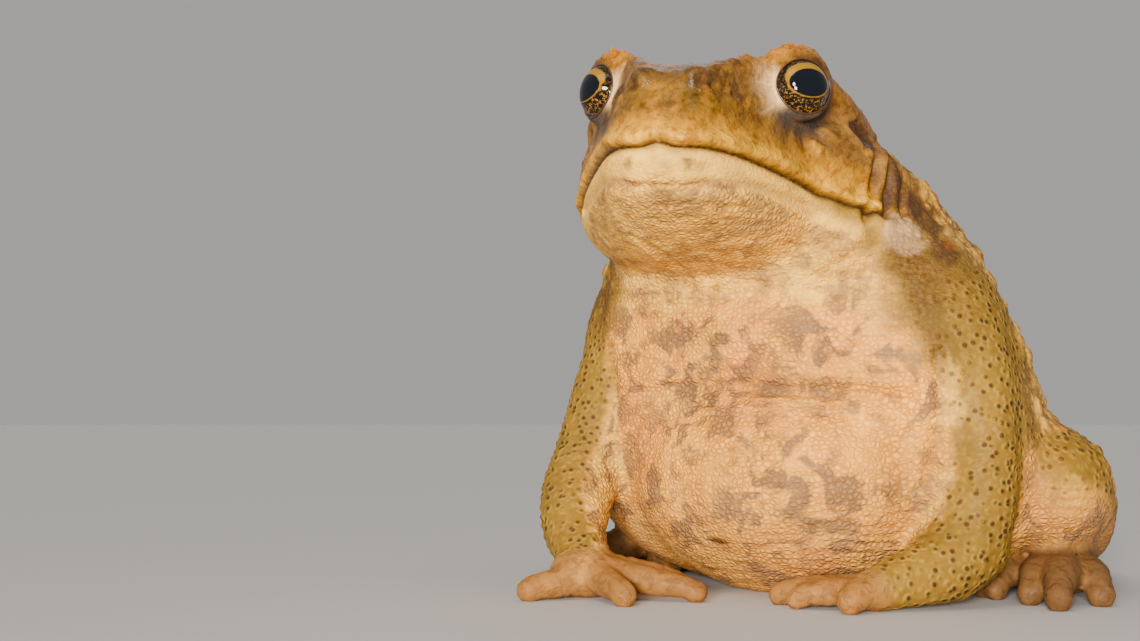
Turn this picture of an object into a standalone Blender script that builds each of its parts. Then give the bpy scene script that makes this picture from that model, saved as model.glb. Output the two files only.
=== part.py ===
"""Cane toad, life size, sitting up on its forelegs with its head raised: a still museum model.

The toad faces -Y, its left side is +X, and the flat under its belly is at the origin. The body is modelled
whole from lofts and tubes, fused and smoothed, then parted by thin cuts into head, torso and limbs.
Lengths in the tables are millimetres.
"""

import math

import bmesh
import bpy
import numpy as np
from mathutils import Matrix, Vector

# Driving dimensions, in metres
MM = 0.001
EYE_RADIUS = 6.4 * MM
CUT_GAP = 0.3 * MM
FUSE_VOXEL = 0.9 * MM
EYE_GAP = 0.3 * MM
WART_HEIGHT = 1.25 * MM

# How the whole body is smoothed and thinned
RELAX_PASSES = 24
BODY_RELAX, FACE_RELAX, DIGIT_RELAX = 0.6, 0.25, 0.1
FACE_DEPTH = 50.0
DIGIT_HEIGHT = 9.0
WHOLE_FACES = 6300
REGION_FACES = 280
SHARP_ANGLE = math.radians(38.0)

# Warts: one centre drawn in each cell of this size, and only the larger draws grow one
WART_CELL = 6.0
WART_SEED = 3
WART_RADIUS = (1.9, 1.1)
WART_LEAST_DRAW = 0.5

# The head's own frame: x to the toad's left, s back from the snout tip, z up from the line of the mouth
SNOUT_TIP = (-1.3, -53.5, 81.4)
HEAD_TURN = math.radians(12.0)
HEAD_RAISE = math.radians(1.5)
HEAD_TILT = math.radians(3.4)
BROW_SHIFT = 0.8
EYE_PLACE = (18.0, 26.0, 16.6)
EYE_TURN = math.radians(37.0)
EYE_RAISE = math.radians(4.0)
EYE_OPENING = 5.2
EYE_WINDOW_DEPTH = 13.0
MOUTH_GROOVE = 0.6

# Head sections: back from the snout, half width at the lip, crown above and throat below the mouth line,
# and the power of the crown's superellipse, from boxy to round
HEAD_SECTIONS = (
    (0.0, 3.6, 6.0, 3.0, 2.8),
    (1.6, 6.6, 10.4, 5.4, 2.9),
    (4.0, 9.2, 13.8, 7.6, 3.0),
    (8.0, 12.0, 17.2, 10.0, 3.0),
    (14.0, 15.2, 19.6, 12.4, 3.0),
    (22.0, 19.4, 20.4, 14.8, 2.8),
    (30.0, 23.4, 20.6, 16.4, 2.5),
    (38.0, 27.2, 20.0, 17.4, 2.4),
    (45.0, 29.4, 18.6, 17.6, 2.4),
    (52.0, 28.0, 16.0, 16.4, 2.2),
)
THROAT_POWER = 2.5

# Trunk sections: the back's point and the belly's point as (y, z) each, then the half width, the height
# of the widest level as a share of the way from belly to back, and how far the section stands to the left
TRUNK_SECTIONS = (
    (-16.0, 92.0, -20.0, 66.0, 25.4, 0.50, -8.0),
    (-6.0, 92.5, -17.0, 58.0, 27.4, 0.48, -5.5),
    (6.0, 88.5, -18.0, 48.0, 34.4, 0.46, -3.3),
    (18.0, 81.0, -17.0, 38.0, 43.2, 0.42, -2.0),
    (30.0, 71.5, -15.0, 20.0, 47.6, 0.38, -0.8),
    (40.0, 61.5, -8.0, 5.0, 49.4, 0.36, 0.0),
    (49.0, 50.5, 8.0, -1.0, 50.2, 0.38, 0.0),
    (57.0, 40.0, 28.0, -1.0, 48.6, 0.42, 0.0),
    (64.0, 30.0, 46.0, -1.0, 41.0, 0.44, 0.0),
    (69.0, 20.0, 58.0, 0.0, 28.0, 0.46, 0.0),
    (71.0, 12.5, 66.0, 3.0, 14.0, 0.50, 0.0),
)
TRUNK_POWER = 2.1
BELLY = ((0.0, 4.0, 23.6), (35.5, 28.0, 25.2))
CHEST = ((0.0, -2.0, 52.0), (29.0, 17.5, 13.0))

# Limb paths: x, y, z and radius at each knot, for the left side unless named right
LEFT_UPPER_ARM = (
    (25, 8, 62, 9.0), (33, 3, 53, 10.2), (37.5, 0, 44, 8.6), (40, -2, 33, 7.1), (39.8, -3, 22, 7.4),
    (37.5, -4, 11.5, 8.2),
)
LEFT_FOREARM = ((37.5, -4, 11.5, 8.2), (35, -9, 8.0, 7.4), (31, -15, 5.8, 5.6), (26.5, -20.5, 4.2, 4.2))
RIGHT_UPPER_ARM = (
    (-28, 6, 63, 11.0), (-34, 1, 53, 10.4), (-37, -3, 44, 9.2), (-39.3, -6.5, 35, 8.2),
    (-40.3, -10.5, 26, 7.8),
)
RIGHT_FOREARM = (
    (-40.3, -10.5, 26, 7.8), (-40.2, -15.5, 19, 7.8), (-37.0, -22, 12.5, 6.8), (-31.5, -27.5, 7.4, 5.2),
)
THIGH = ((20, 52, 21, 15.0), (32, 42, 21, 15.0), (42, 28, 21.5, 13.4), (48.3, 17, 21, 12.2))
SHANK = ((48.3, 17, 21, 12.2), (48, 30, 15.5, 10.4), (46, 46, 12, 8.6), (43.5, 62, 8.0, 6.0))
TARSUS = (
    (43.5, 62, 7.2, 6.0), (44.5, 50, 6.2, 5.2), (46, 38, 6.0, 5.6), (48, 26, 6.4, 6.0),
    (50, 18, 6.6, 5.6),
)
RIGHT_LEG_SHIFT = (4.0, 4.0, 0.0)

# Digits: root, knuckle and tip as x, y, z, then the radius at the root and at the tip
LEFT_FINGERS = (
    ((24, -19, 3.8), (16, -17.5, 3.0), (11, -16.5, 1.7), 2.8, 2.2),
    ((23.5, -20.5, 3.8), (14, -20.8, 3.2), (7.5, -21.5, 1.8), 2.9, 2.4),
    ((24, -22, 3.6), (17, -24.0, 3.0), (12.5, -26.0, 1.7), 2.8, 2.2),
    ((25.5, -22.0, 3.6), (24.5, -25.0, 3.2), (23.4, -27.6, 2.1), 3.0, 2.7),
)
RIGHT_FINGERS = (
    ((-27, -27, 5.6), (-21, -20.5, 4.0), (-15.5, -15.5, 1.8), 3.1, 2.3),
    ((-26, -30, 5.2), (-16, -28.6, 3.6), (-7.2, -26.6, 1.9), 3.3, 2.4),
    ((-27, -31, 4.8), (-21.0, -35.6, 3.4), (-16.2, -38.8, 2.0), 3.2, 2.7),
    ((-29, -32, 4.6), (-32.4, -37.0, 3.0), (-35.6, -41.2, 2.0), 3.3, 2.7),
)
TOES = (
    ((43, 24, 4.4), (38.5, 15.0, 3.6), (37.0, 9.0, 1.6), 3.2, 2.1),
    ((44.5, 22, 5.2), (41.2, 12.0, 4.6), (40.2, 6.5, 1.8), 3.4, 2.3),
    ((47.5, 19, 6.0), (47.6, 7.0, 5.2), (47.6, 2.0, 2.0), 3.6, 2.6),
    ((50.5, 18, 6.4), (53.0, 3.0, 5.2), (54.0, -3.5, 2.0), 3.8, 2.8),
    ((53.0, 19, 5.8), (57.0, 12.0, 5.0), (59.4, 7.0, 2.0), 3.7, 2.8),
)
# Palm and sole pads of the right hand, left hand and left foot: middle and radii
PADS = (
    ((-29.5, -30.5, 4.6), (7.6, 6.4, 4.8)),
    ((25.5, -20.5, 3.4), (5.2, 4.8, 3.8)),
    ((49.5, 19.5, 4.8), (8.2, 8.4, 4.6)),
)
PALM_PLACE = {"left": (25.0, -21.5, 4.4), "right": (-29.0, -30.5, 5.0)}

# Ridges of the head in its own frame, on the left: x, s, z and radius at each knot
LIP_LINE = tuple((row[1] - 2.0, row[0] + 0.6, 2.4, 2.5) for row in HEAD_SECTIONS[1:9])
LIP_FORWARD = ((0.0, 2.0, 2.4, 2.4), (4.0, 2.2, 2.4, 2.4), (7.0, 4.0, 2.4, 2.4))
CANTHUS = ((4.6, 5.0, 13.8, 2.4), (7.6, 11.0, 16.6, 2.6), (10.8, 17.5, 19.2, 2.6))
BROW = ((10.6, 17.0, 19.0, 2.6), (14.8, 19.6, 22.2, 2.6), (19.0, 24.6, 23.6, 2.8), (21.0, 32.0, 21.0, 2.8))
TEMPLE = ((20.6, 32.0, 19.4, 3.6), (24.0, 39.0, 15.4, 4.4), (26.6, 46.0, 12.0, 4.6), (26.6, 53.0, 8.4, 5.0))
LIDS = ((16.4, 26.6, 17.3), (7.4, 7.7, 7.5))
EYE_FRONT = ((14.6, 19.4, 14.6), (3.4, 3.6, 5.0))
TEMPLE_SHIFT = {1: 0.4, -1: 2.2}

# The glands behind the eyes in the toad's frame, and how much further out the right one lies at each knot
PAROTOID = (
    (9.2, -20.0, 84.5, 6.4), (14.4, -11.0, 84.0, 8.2), (17.8, -1.5, 79.0, 9.4), (22.8, 7.5, 72.6, 9.4),
    (28.4, 15.5, 65.0, 8.0),
)
PAROTOID_LEAN = (-15.0, -12.0, -9.0, -6.0, -5.0)

# Lines and places of the face in its own frame, on the left
MOUTH = (
    (0.0, 0.2, 0.5), (3.5, 0.7, 0.8), (7.0, 3.0, 1.0), (9.8, 6.5, 1.0), (12.6, 11.0, 0.8),
    (15.4, 16.0, 0.2), (17.7, 20.0, -0.3), (19.8, 24.0, -0.9), (21.9, 28.0, -1.7),
    (23.8, 31.5, -2.7), (25.4, 34.5, -3.8), (26.6, 37.0, -4.9), (27.4, 39.5, -6.0),
)
UPPER_LIP_OFFSET, LOWER_LIP_OFFSET = (0.2, 0.0, 2.2), (-0.3, 0.3, -2.4)
LIP_FOLD = (
    (0.0, 1.6, -6.6), (4.0, 2.4, -6.8), (7.6, 4.6, -5.2), (11.0, 9.0, -4.0), (15.2, 16.0, -3.6),
    (19.6, 24.0, -4.4), (22.6, 29.0, -5.0), (24.6, 33.0, -5.8),
)
NOSTRIL = (4.6, 5.0, 14.2)
TYMPANUM = (29.4, 38.0, 9.6)
TYMPANUM_RADIUS = 3.4

# The line along each flank where the back's skin meets the belly's, as y and z
FLANK_LINE = (
    (-40.0, 84.0), (-22.0, 80.0), (-12.0, 72.0), (-6.0, 63.0), (-3.0, 54.0), (3.0, 43.0), (11.0, 30.0),
    (24.0, 20.0), (39.0, 15.0), (54.0, 12.0), (80.0, 8.0),
)

# The cut behind the head, how much wider a limb's region is than the limb, and the order of parting
NECK_TOP = (0.0, -3.0, 98.0)
NECK_FOOT = (0.0, -19.0, 58.5)
REGION_MARGIN = 1.5
PART_NAMES = ("hand", "foot", "forearm", "shank", "upper_arm", "thigh")

# Colours, linear
SKIN_OLIVE = (0.30, 0.21, 0.09)
SKIN_PALE = (0.56, 0.42, 0.27)
SKIN_BROWN = (0.24, 0.15, 0.08)
EYE_DARK = (0.02, 0.018, 0.015)
COLOURS = {"eye": EYE_DARK, "torso": SKIN_PALE, "hand": SKIN_BROWN, "foot": SKIN_BROWN}
EYE_ROUGHNESS, SKIN_ROUGHNESS = 0.1, 0.55



def head_matrix():
    """The matrix from the head's frame to the toad's: turned, raised and tilted about the snout tip."""
    turn = Matrix.Rotation(HEAD_TURN, 4, "Z")
    lift = Matrix.Rotation(-HEAD_RAISE, 4, "X")
    tilt = Matrix.Rotation(HEAD_TILT, 4, "Y")
    return np.array(Matrix.Translation(SNOUT_TIP) @ turn @ lift @ tilt)


HEAD = head_matrix()
HEAD_BACK = np.linalg.inv(HEAD)


def from_head(points):
    """Points of the head's frame in the toad's frame."""
    return np.asarray(points, float) @ HEAD[:3, :3].T + HEAD[:3, 3]


def to_head(points):
    """Points of the toad's frame in the head's frame."""
    return np.asarray(points, float) @ HEAD_BACK[:3, :3].T + HEAD_BACK[:3, 3]


def through(knots, per_span):
    """A smooth run of points through the knots, by the Catmull-Rom formula on each column."""
    knots = np.asarray(knots, float)
    padded = np.vstack([2 * knots[0] - knots[1], knots, 2 * knots[-1] - knots[-2]])
    share = np.arange(per_span) / per_span
    rows = []
    for before, start, end, after in zip(padded, padded[1:], padded[2:], padded[3:]):
        t = share[:, None]
        rows.append(
            0.5 * (2 * start + (end - before) * t + (2 * before - 5 * start + 4 * end - after) * t**2
                   + (3 * start - before - 3 * end + after) * t**3)
        )
    return np.vstack([*rows, knots[-1:]])


def mesh_object(name, points, faces):
    """A mesh object from points in millimetres, with its faces turned outwards."""
    mesh = bpy.data.meshes.new(name)
    mesh.from_pydata((np.asarray(points) * MM).tolist(), [], [list(map(int, face)) for face in faces])
    made = bmesh.new()
    made.from_mesh(mesh)
    bmesh.ops.recalc_face_normals(made, faces=made.faces)
    made.to_mesh(mesh)
    made.free()
    piece = bpy.data.objects.new(name, mesh)
    bpy.context.scene.collection.objects.link(piece)
    return piece


def loft(name, rings):
    """A closed body over a stack of rings, each end closed on its ring's middle."""
    rings = np.asarray(rings, float)
    count, sides = rings.shape[:2]
    points = np.vstack([rings.reshape(-1, 3), rings[0].mean(0), rings[-1].mean(0)])
    here = np.arange(sides)
    after = (here + 1) % sides
    faces = []
    for row in range(count - 1):
        low, high = row * sides, (row + 1) * sides
        faces += list(zip(low + here, low + after, high + after, high + here))
    first, last = count * sides, count * sides + 1
    faces += [(first, b, a) for a, b in zip(here, after)]
    faces += [(last, a, b) for a, b in zip(here + (count - 1) * sides, after + (count - 1) * sides)]
    return mesh_object(name, points, faces)


def tube(name, knots, sides=16, per_span=5, extra=0.0):
    """A round limb through (x, y, z, radius) knots, with round ends, and thicker by extra."""
    line = through(knots, per_span)
    line[:, 3] += extra
    ahead = np.gradient(line[:, :3], axis=0)
    ahead /= np.linalg.norm(ahead, axis=1)[:, None]
    angles = np.linspace(0, 2 * math.pi, sides, endpoint=False)
    dome = np.linspace(0.15, 1.0, 4) * math.pi / 2
    across = np.cross(ahead[0], (0.31, 0.17, 0.93))
    rings = []
    for place, radius, way in zip(line[:, :3], line[:, 3], ahead):
        across -= way * (across @ way)
        across /= np.linalg.norm(across)
        other = np.cross(way, across)
        round_it = np.outer(np.cos(angles), across) + np.outer(np.sin(angles), other)
        rings.append((place, radius, way, round_it))
    place, radius, way, round_it = rings[0]
    start = [place - way * radius * math.sin(a) + round_it * radius * math.cos(a) for a in dome[::-1][1:]]
    middle = [place + round_it * radius for place, radius, way, round_it in rings]
    place, radius, way, round_it = rings[-1]
    end = [place + way * radius * math.sin(a) + round_it * radius * math.cos(a) for a in dome[:-1]]
    return loft(name, start + middle + end)


def ellipsoid(name, centre, radii, matrix=None):
    """A ball with its own radius along x, y and z."""
    made = bmesh.new()
    bmesh.ops.create_uvsphere(made, u_segments=20, v_segments=12, radius=1.0)
    points = np.array([vertex.co for vertex in made.verts]) * np.array(radii) + np.array(centre)
    faces = [[vertex.index for vertex in face.verts] for face in made.faces]
    made.free()
    return mesh_object(name, points if matrix is None else matrix(points), faces)


def half_oval(angles, half_width, rise, drop, rise_power, drop_power):
    """x and z round a section whose upper and lower halves are superellipses of their own."""
    cosine, sine = np.cos(angles), np.sin(angles)
    power = np.where(sine > 0, rise_power, drop_power)
    height = np.where(sine > 0, rise, drop)
    x = half_width * np.sign(cosine) * np.abs(cosine) ** (2 / power)
    z = height * np.sign(sine) * np.abs(sine) ** (2 / power)
    return x, z


def head_form():
    """The skull, lips and throat as one loft from snout to nape."""
    angles = np.linspace(0, 2 * math.pi, 64, endpoint=False)
    rings = []
    for back, half_width, crown, throat, crown_power in through(HEAD_SECTIONS, 5):
        x, z = half_oval(angles, half_width, crown, throat, crown_power, THROAT_POWER)
        rings.append(from_head(np.column_stack([x, np.full_like(x, back), z])))
    return loft("head_form", rings)


def trunk_form():
    """Neck, back and belly as a fan of sections, each standing between its back and belly points."""
    angles = np.linspace(0, 2 * math.pi, 64, endpoint=False)
    rings = []
    for back_y, back_z, belly_y, belly_z, half_width, widest, left in through(TRUNK_SECTIONS, 5):
        x, level = half_oval(angles, half_width, 1 - widest, widest, TRUNK_POWER, TRUNK_POWER)
        share = (level + widest)[:, None]
        middle = share * (left, back_y, back_z) + (1 - share) * (left, belly_y, belly_z)
        rings.append(middle + x[:, None] * (1, 0, 0))
    return loft("trunk_form", rings)


def head_tube(name, knots, side=1, shift=0.0):
    """A tube whose knots are given in the head's frame, for side +1, the left, or -1, the right."""
    knots = np.array(knots, float) * (side, 1, 1, 1) + (shift, 0, 0, 0)
    return tube(name, np.column_stack([from_head(knots[:, :3]), knots[:, 3]]))


def parotoid_knots(side):
    """The knots of one gland: the right one lies further out, for the neck leans to the right."""
    knots = np.array(PAROTOID) * (side, 1, 1, 1)
    knots[:, 0] += np.array(PAROTOID_LEAN) * (side < 0)
    return knots


def side_forms(side):
    """The forms that both sides of the head share, for side +1, the left, or -1, the right."""
    (x, s, z), radii = LIDS
    front, swell = EYE_FRONT
    return [
        head_tube("lip", LIP_LINE, side),
        head_tube("lip_front", LIP_FORWARD, side),
        head_tube("canthus", CANTHUS, side, 0.5 * BROW_SHIFT),
        head_tube("brow", BROW, side, BROW_SHIFT),
        head_tube("temple", TEMPLE, side, TEMPLE_SHIFT[side]),
        tube("parotoid", parotoid_knots(side)),
        ellipsoid("lids", (side * x + BROW_SHIFT, s, z), radii, from_head),
        ellipsoid("eye_front", (side * front[0] + BROW_SHIFT, *front[1:]), swell, from_head),
    ]


def shifted_leg(knots):
    """A left leg's rows turned to the right side and moved in behind the right arm."""
    rows = np.array(knots, float)
    rows[..., 0] *= -1
    rows[..., :3] += RIGHT_LEG_SHIFT
    return rows


def digit_knots(digit):
    """The (x, y, z, radius) knots of one finger or toe, swollen at its middle joint and its tip."""
    root, knuckle, tip, root_radius, tip_radius = digit
    middle = 0.5 * (root_radius + tip_radius)
    near_tip = 0.3 * np.array(knuckle) + 0.7 * np.array(tip)
    near_tip[2] += 0.5
    return np.array([
        (*root, root_radius),
        (*knuckle, middle * 1.04),
        (*near_tip, tip_radius * 0.96),
        (*tip, tip_radius * 1.05),
    ])


def shifted_digit(digit):
    """A left toe turned to the right foot."""
    root, knuckle, tip, root_radius, tip_radius = digit
    return (*[tuple(shifted_leg([p])[0]) for p in (root, knuckle, tip)], root_radius, tip_radius)


ARMS = {
    "left": (LEFT_UPPER_ARM, LEFT_FOREARM, LEFT_FINGERS),
    "right": (RIGHT_UPPER_ARM, RIGHT_FOREARM, RIGHT_FINGERS),
}
LEGS = {
    "left": (np.array(THIGH, float), np.array(SHANK, float), np.array(TARSUS, float), TOES),
    "right": (shifted_leg(THIGH), shifted_leg(SHANK), shifted_leg(TARSUS), [shifted_digit(t) for t in TOES]),
}


def limb_forms():
    """Arms, legs, fingers and toes as tapered tubes."""
    forms = []
    for upper, fore, fingers in ARMS.values():
        forms += [tube("upper_arm", upper), tube("forearm", fore)]
        forms += [tube("finger", digit_knots(finger), sides=12, per_span=4) for finger in fingers]
    for thigh, shank, tarsus, toes in LEGS.values():
        forms += [tube("thigh", thigh), tube("shank", shank), tube("tarsus", tarsus)]
        forms += [tube("toe", digit_knots(toe), sides=12, per_span=4) for toe in toes]
    right_hand, left_hand, left_foot = PADS
    right_foot = (tuple(shifted_leg([left_foot[0]])[0]), left_foot[1])
    forms += [ellipsoid("pad", *pad) for pad in (right_hand, left_hand, left_foot, right_foot)]
    return forms


def coordinates(mesh):
    """The mesh's points in millimetres."""
    flat = np.empty(len(mesh.vertices) * 3, np.float32)
    mesh.vertices.foreach_get("co", flat)
    return flat.reshape(-1, 3).astype(float) / MM


def set_coordinates(mesh, points):
    """Puts points in millimetres back into the mesh."""
    mesh.vertices.foreach_set("co", (points * MM).astype(np.float32).ravel())
    mesh.update()


def normals(mesh):
    """The mesh's point normals."""
    flat = np.empty(len(mesh.vertices) * 3, np.float32)
    mesh.vertex_normals.foreach_get("vector", flat)
    return flat.reshape(-1, 3).astype(float)


def relax(mesh, passes, strength):
    """Moves each point towards the mean of its neighbours, by its own strength from 0 to 1."""
    points = coordinates(mesh)
    ends = np.empty(len(mesh.edges) * 2, np.int32)
    mesh.edges.foreach_get("vertices", ends)
    a, b = ends.reshape(-1, 2).T
    count = np.bincount(a, minlength=len(points)) + np.bincount(b, minlength=len(points))
    for _ in range(passes):
        mean = np.empty_like(points)
        for axis in range(3):
            column = points[:, axis]
            total = np.bincount(a, column[b], len(points)) + np.bincount(b, column[a], len(points))
            mean[:, axis] = total / count
        points += (mean - points) * strength[:, None]
    set_coordinates(mesh, points)


def applied(piece):
    """The piece with its modifiers made part of its mesh."""
    graph = bpy.context.evaluated_depsgraph_get()
    mesh = bpy.data.meshes.new_from_object(piece.evaluated_get(graph))
    piece.modifiers.clear()
    piece.data = mesh
    return piece


def fuse(name, forms):
    """All forms as one closed skin, by a voxel remesh."""
    made = bmesh.new()
    for form in forms:
        made.from_mesh(form.data)
        bpy.data.objects.remove(form)
    mesh = bpy.data.meshes.new(name)
    made.to_mesh(mesh)
    made.free()
    whole = bpy.data.objects.new(name, mesh)
    bpy.context.scene.collection.objects.link(whole)
    remesh = whole.modifiers.new("fuse", "REMESH")
    remesh.mode = "VOXEL"
    remesh.voxel_size = FUSE_VOXEL
    return applied(whole)


def distance_to(points, line):
    """Each point's distance from a polyline."""
    line = np.asarray(line, float)
    nearest = np.full(len(points), np.inf)
    for start, end in zip(line, line[1:]):
        along = end - start
        share = np.clip((points - start) @ along / (along @ along), 0, 1)
        nearest = np.minimum(nearest, np.linalg.norm(points - start - share[:, None] * along, axis=1))
    return nearest


def bell(distance, width):
    """One at no distance and falling smoothly to nothing beyond about twice the width."""
    return np.exp(-((distance / width) ** 2))


def face_relief(points):
    """How far each point of the face moves outwards: lips, mouth line, nostrils and eardrums."""
    local = to_head(points)
    folded = np.column_stack([np.abs(local[:, 0]), local[:, 1:]])
    front = (local[:, 1] < 60) & (local[:, 2] > -26)
    relief = np.zeros(len(points))
    face = folded[front]
    mouth = through(MOUTH, 3)
    upper_lip = mouth + UPPER_LIP_OFFSET
    lower_lip = mouth + LOWER_LIP_OFFSET
    change = -0.6 * bell(distance_to(face, mouth), 1.2)
    change += 0.7 * bell(distance_to(face, upper_lip), 1.5)
    change += 0.35 * bell(distance_to(face, lower_lip), 1.6)
    change -= 0.8 * bell(distance_to(face, through(LIP_FOLD, 3)), 1.1)
    nostril = np.linalg.norm(face - NOSTRIL, axis=1)
    change += 0.6 * bell(nostril, 2.0)
    ear = np.linalg.norm((face - TYMPANUM) * (0.5, 1, 0.8), axis=1)
    change -= 0.8 * bell(ear - TYMPANUM_RADIUS, 0.8)
    relief[front] = change
    return relief


def back_side(points):
    """How far each point lies on the back's side of the flank line, seen from the side."""
    flat = points[:, 1:]
    nearest = np.full(len(points), np.inf)
    signed = np.zeros(len(points))
    line = np.array(FLANK_LINE)
    for start, end in zip(line, line[1:]):
        along = end - start
        share = np.clip((flat - start) @ along / (along @ along), 0, 1)
        away = flat - start - share[:, None] * along
        distance = np.linalg.norm(away, axis=1)
        side = np.sign(along[0] * away[:, 1] - along[1] * away[:, 0])
        closer = distance < nearest
        nearest = np.where(closer, distance, nearest)
        signed = np.where(closer, side * distance, signed)
    return signed


def draws(cells, seed):
    """Four even draws from 0 to 1 for each whole-number cell, mixed by products and shifts."""
    factors = np.array([73856093, 19349663, 83492791], np.uint64)
    mixed = (cells.astype(np.int64).astype(np.uint64) * factors).sum(-1) + np.uint64(seed * 2654435761)
    found = []
    for step in range(4):
        mixed = mixed ^ (mixed >> np.uint64(29))
        mixed = mixed * np.uint64(0xBF58476D1CE4E5B9) + np.uint64(step + 1)
        found.append((mixed >> np.uint64(40)).astype(float) / 2**24)
    return np.stack(found, -1)


def scattered(points, size, seed):
    """The distance from each point to the nearest of the scattered centres, and its draw."""
    cell = np.floor(points / size)
    nearest = np.full(len(points), np.inf)
    own = np.zeros(len(points))
    for offset in np.ndindex(3, 3, 3):
        there = cell + np.array(offset) - 1
        draw = draws(there, seed)
        distance = np.linalg.norm((there + 0.1 + 0.8 * draw[:, :3]) * size - points, axis=1)
        closer = distance < nearest
        nearest = np.where(closer, distance, nearest)
        own = np.where(closer, draw[:, 3], own)
    return nearest, own


def wart_relief(points):
    """How far the larger warts of back and flanks stand out: a dome over each centre with a large draw."""
    distance, draw = scattered(points, WART_CELL, WART_SEED)
    least, more = WART_RADIUS
    dome = np.clip(1 - (distance / (least + more * draw)) ** 2, 0, 1)
    bare = (back_side(points) < 2) | (to_head(points)[:, 1] < FACE_DEPTH - 4) | (draw < WART_LEAST_DRAW)
    for upper, fore, _ in ARMS.values():
        for limb in (upper, fore):
            bare |= distance_to(points, np.array(limb)[:, :3]) < 11
    return np.where(bare, 0.0, WART_HEIGHT / MM * dome * (0.6 + 0.6 * draw))


def eye_frame(side):
    """The eyeball's centre and the way it looks, in the toad's frame."""
    x, s, z = EYE_PLACE
    centre = from_head(np.array([(side * x + BROW_SHIFT, s, z)]))[0]
    look = np.array((
        side * math.sin(EYE_TURN) * math.cos(EYE_RAISE),
        -math.cos(EYE_TURN) * math.cos(EYE_RAISE),
        math.sin(EYE_RAISE),
    ))
    return centre, HEAD[:3, :3] @ look


def eye_ball(name, side, extra=0.0):
    """An eyeball, or the hollow it lies in when larger by extra."""
    radius = EYE_RADIUS / MM + extra
    centre, look = eye_frame(side)
    turn = np.array(Vector(look).to_track_quat("Z", "Y").to_matrix())
    return ellipsoid(name, (0, 0, 0), (radius,) * 3, lambda points: points @ turn.T + centre)


def eye_socket(name, side):
    """The hollow behind the eyeball and the cone that opens the lids in front of it, turned as one body."""
    centre, look = eye_frame(side)
    turn = np.array(Vector(look).to_track_quat("Z", "Y").to_matrix())
    radius = (EYE_RADIUS + EYE_GAP) / MM
    opening = math.asin(EYE_OPENING * MM / EYE_RADIUS)
    angles = np.linspace(0, 2 * math.pi, 22, endpoint=False)
    rings = []
    for polar in np.linspace(math.pi * 0.94, opening, 7):
        rings.append((radius * math.sin(polar), radius * math.cos(polar)))
    rings.append((EYE_WINDOW_DEPTH * math.tan(opening), EYE_WINDOW_DEPTH))
    bodies = [
        np.column_stack([r * np.cos(angles), r * np.sin(angles), np.full_like(angles, z)]) @ turn.T + centre
        for r, z in rings
    ]
    return loft(name, bodies)


def mouth_cutter(whole):
    """A fine round groove along the line of the mouth, laid on the surface of the face."""
    half = np.array(MOUTH)
    line = from_head(np.vstack([half[::-1] * (-1, 1, 1), half[1:]]))
    on_skin = []
    for point in line:
        _, place, normal, _ = whole.closest_point_on_mesh(Vector(point) * MM)
        on_skin.append((*(place / MM), MOUTH_GROOVE))
    return tube("mouth_cut", on_skin, sides=6, per_span=1)


def nostril_cutter(side):
    """A short round hole that leads in from the nostril."""
    x, s, z = NOSTRIL
    knots = [(x + 1.2, s - 1.6, z + 0.8, 0.75), (x, s, z, 0.75), (x - 1.0, s + 2.2, z - 1.2, 0.6)]
    return head_tube("nostril_cut", knots, side)


def boolean(target, cutter, operation):
    """Cuts the target with the cutter, or joins or intersects them."""
    step = target.modifiers.new(operation.lower(), "BOOLEAN")
    step.operation = operation
    step.solver = "EXACT"
    step.object = cutter
    return applied(target)


def thinned(piece, triangles):
    """The piece with its surface described by about so many triangles."""
    thin = piece.modifiers.new("thin", "DECIMATE")
    thin.ratio = min(1.0, triangles / (2 * len(piece.data.polygons)))
    return applied(piece)


def keep_largest(piece):
    """Leaves only the largest closed surface of the piece."""
    made = bmesh.new()
    made.from_mesh(piece.data)
    left = set(made.faces)
    bodies = []
    while left:
        front = [left.pop()]
        body = list(front)
        while front:
            face = front.pop()
            for edge in face.edges:
                for other in edge.link_faces:
                    if other in left:
                        left.remove(other)
                        front.append(other)
                        body.append(other)
        bodies.append(body)
    bodies.sort(key=len)
    for body in bodies[:-1]:
        bmesh.ops.delete(made, geom=body, context="FACES")
    made.to_mesh(piece.data)
    made.free()


def box(name, low, high, matrix=None):
    """A box between two corners."""
    (x0, y0, z0), (x1, y1, z1) = low, high
    points = np.array([(x, y, z) for x in (x0, x1) for y in (y0, y1) for z in (z0, z1)], float)
    faces = [(0, 1, 3, 2), (4, 6, 7, 5), (0, 4, 5, 1), (2, 3, 7, 6), (0, 2, 6, 4), (1, 5, 7, 3)]
    return mesh_object(name, points if matrix is None else matrix(points), faces)


def region_sources(part, side):
    """The rows of tubes that make up one limb part, all thicker than the limb."""
    upper, fore, fingers = ARMS[side]
    thigh, shank, tarsus, toes = LEGS[side]
    wrist = np.array(fore[-1], float)
    palm = (wrist, (*PALM_PLACE[side], wrist[3] + 0.4))
    rows = {
        "hand": [palm] + [digit_knots(finger) for finger in fingers],
        "foot": [tarsus] + [digit_knots(toe) for toe in toes],
        "forearm": [fore],
        "shank": [shank],
        "upper_arm": [upper[1:]],
        "thigh": [thigh],
    }
    return rows[part]


def region(part, side):
    """The closed solid that holds one limb part and is wider than it all round."""
    rows = region_sources(part, side)
    tubes = [tube(part, row, sides=12, per_span=2, extra=REGION_MARGIN) for row in rows]
    name = "region_" + part + "_" + side
    if len(tubes) == 1:
        tubes[0].name = name
        return tubes[0]
    solid = fuse(name, tubes)
    relax(solid.data, 6, np.full(len(solid.data.vertices), 0.5))
    return thinned(solid, REGION_FACES)


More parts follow.
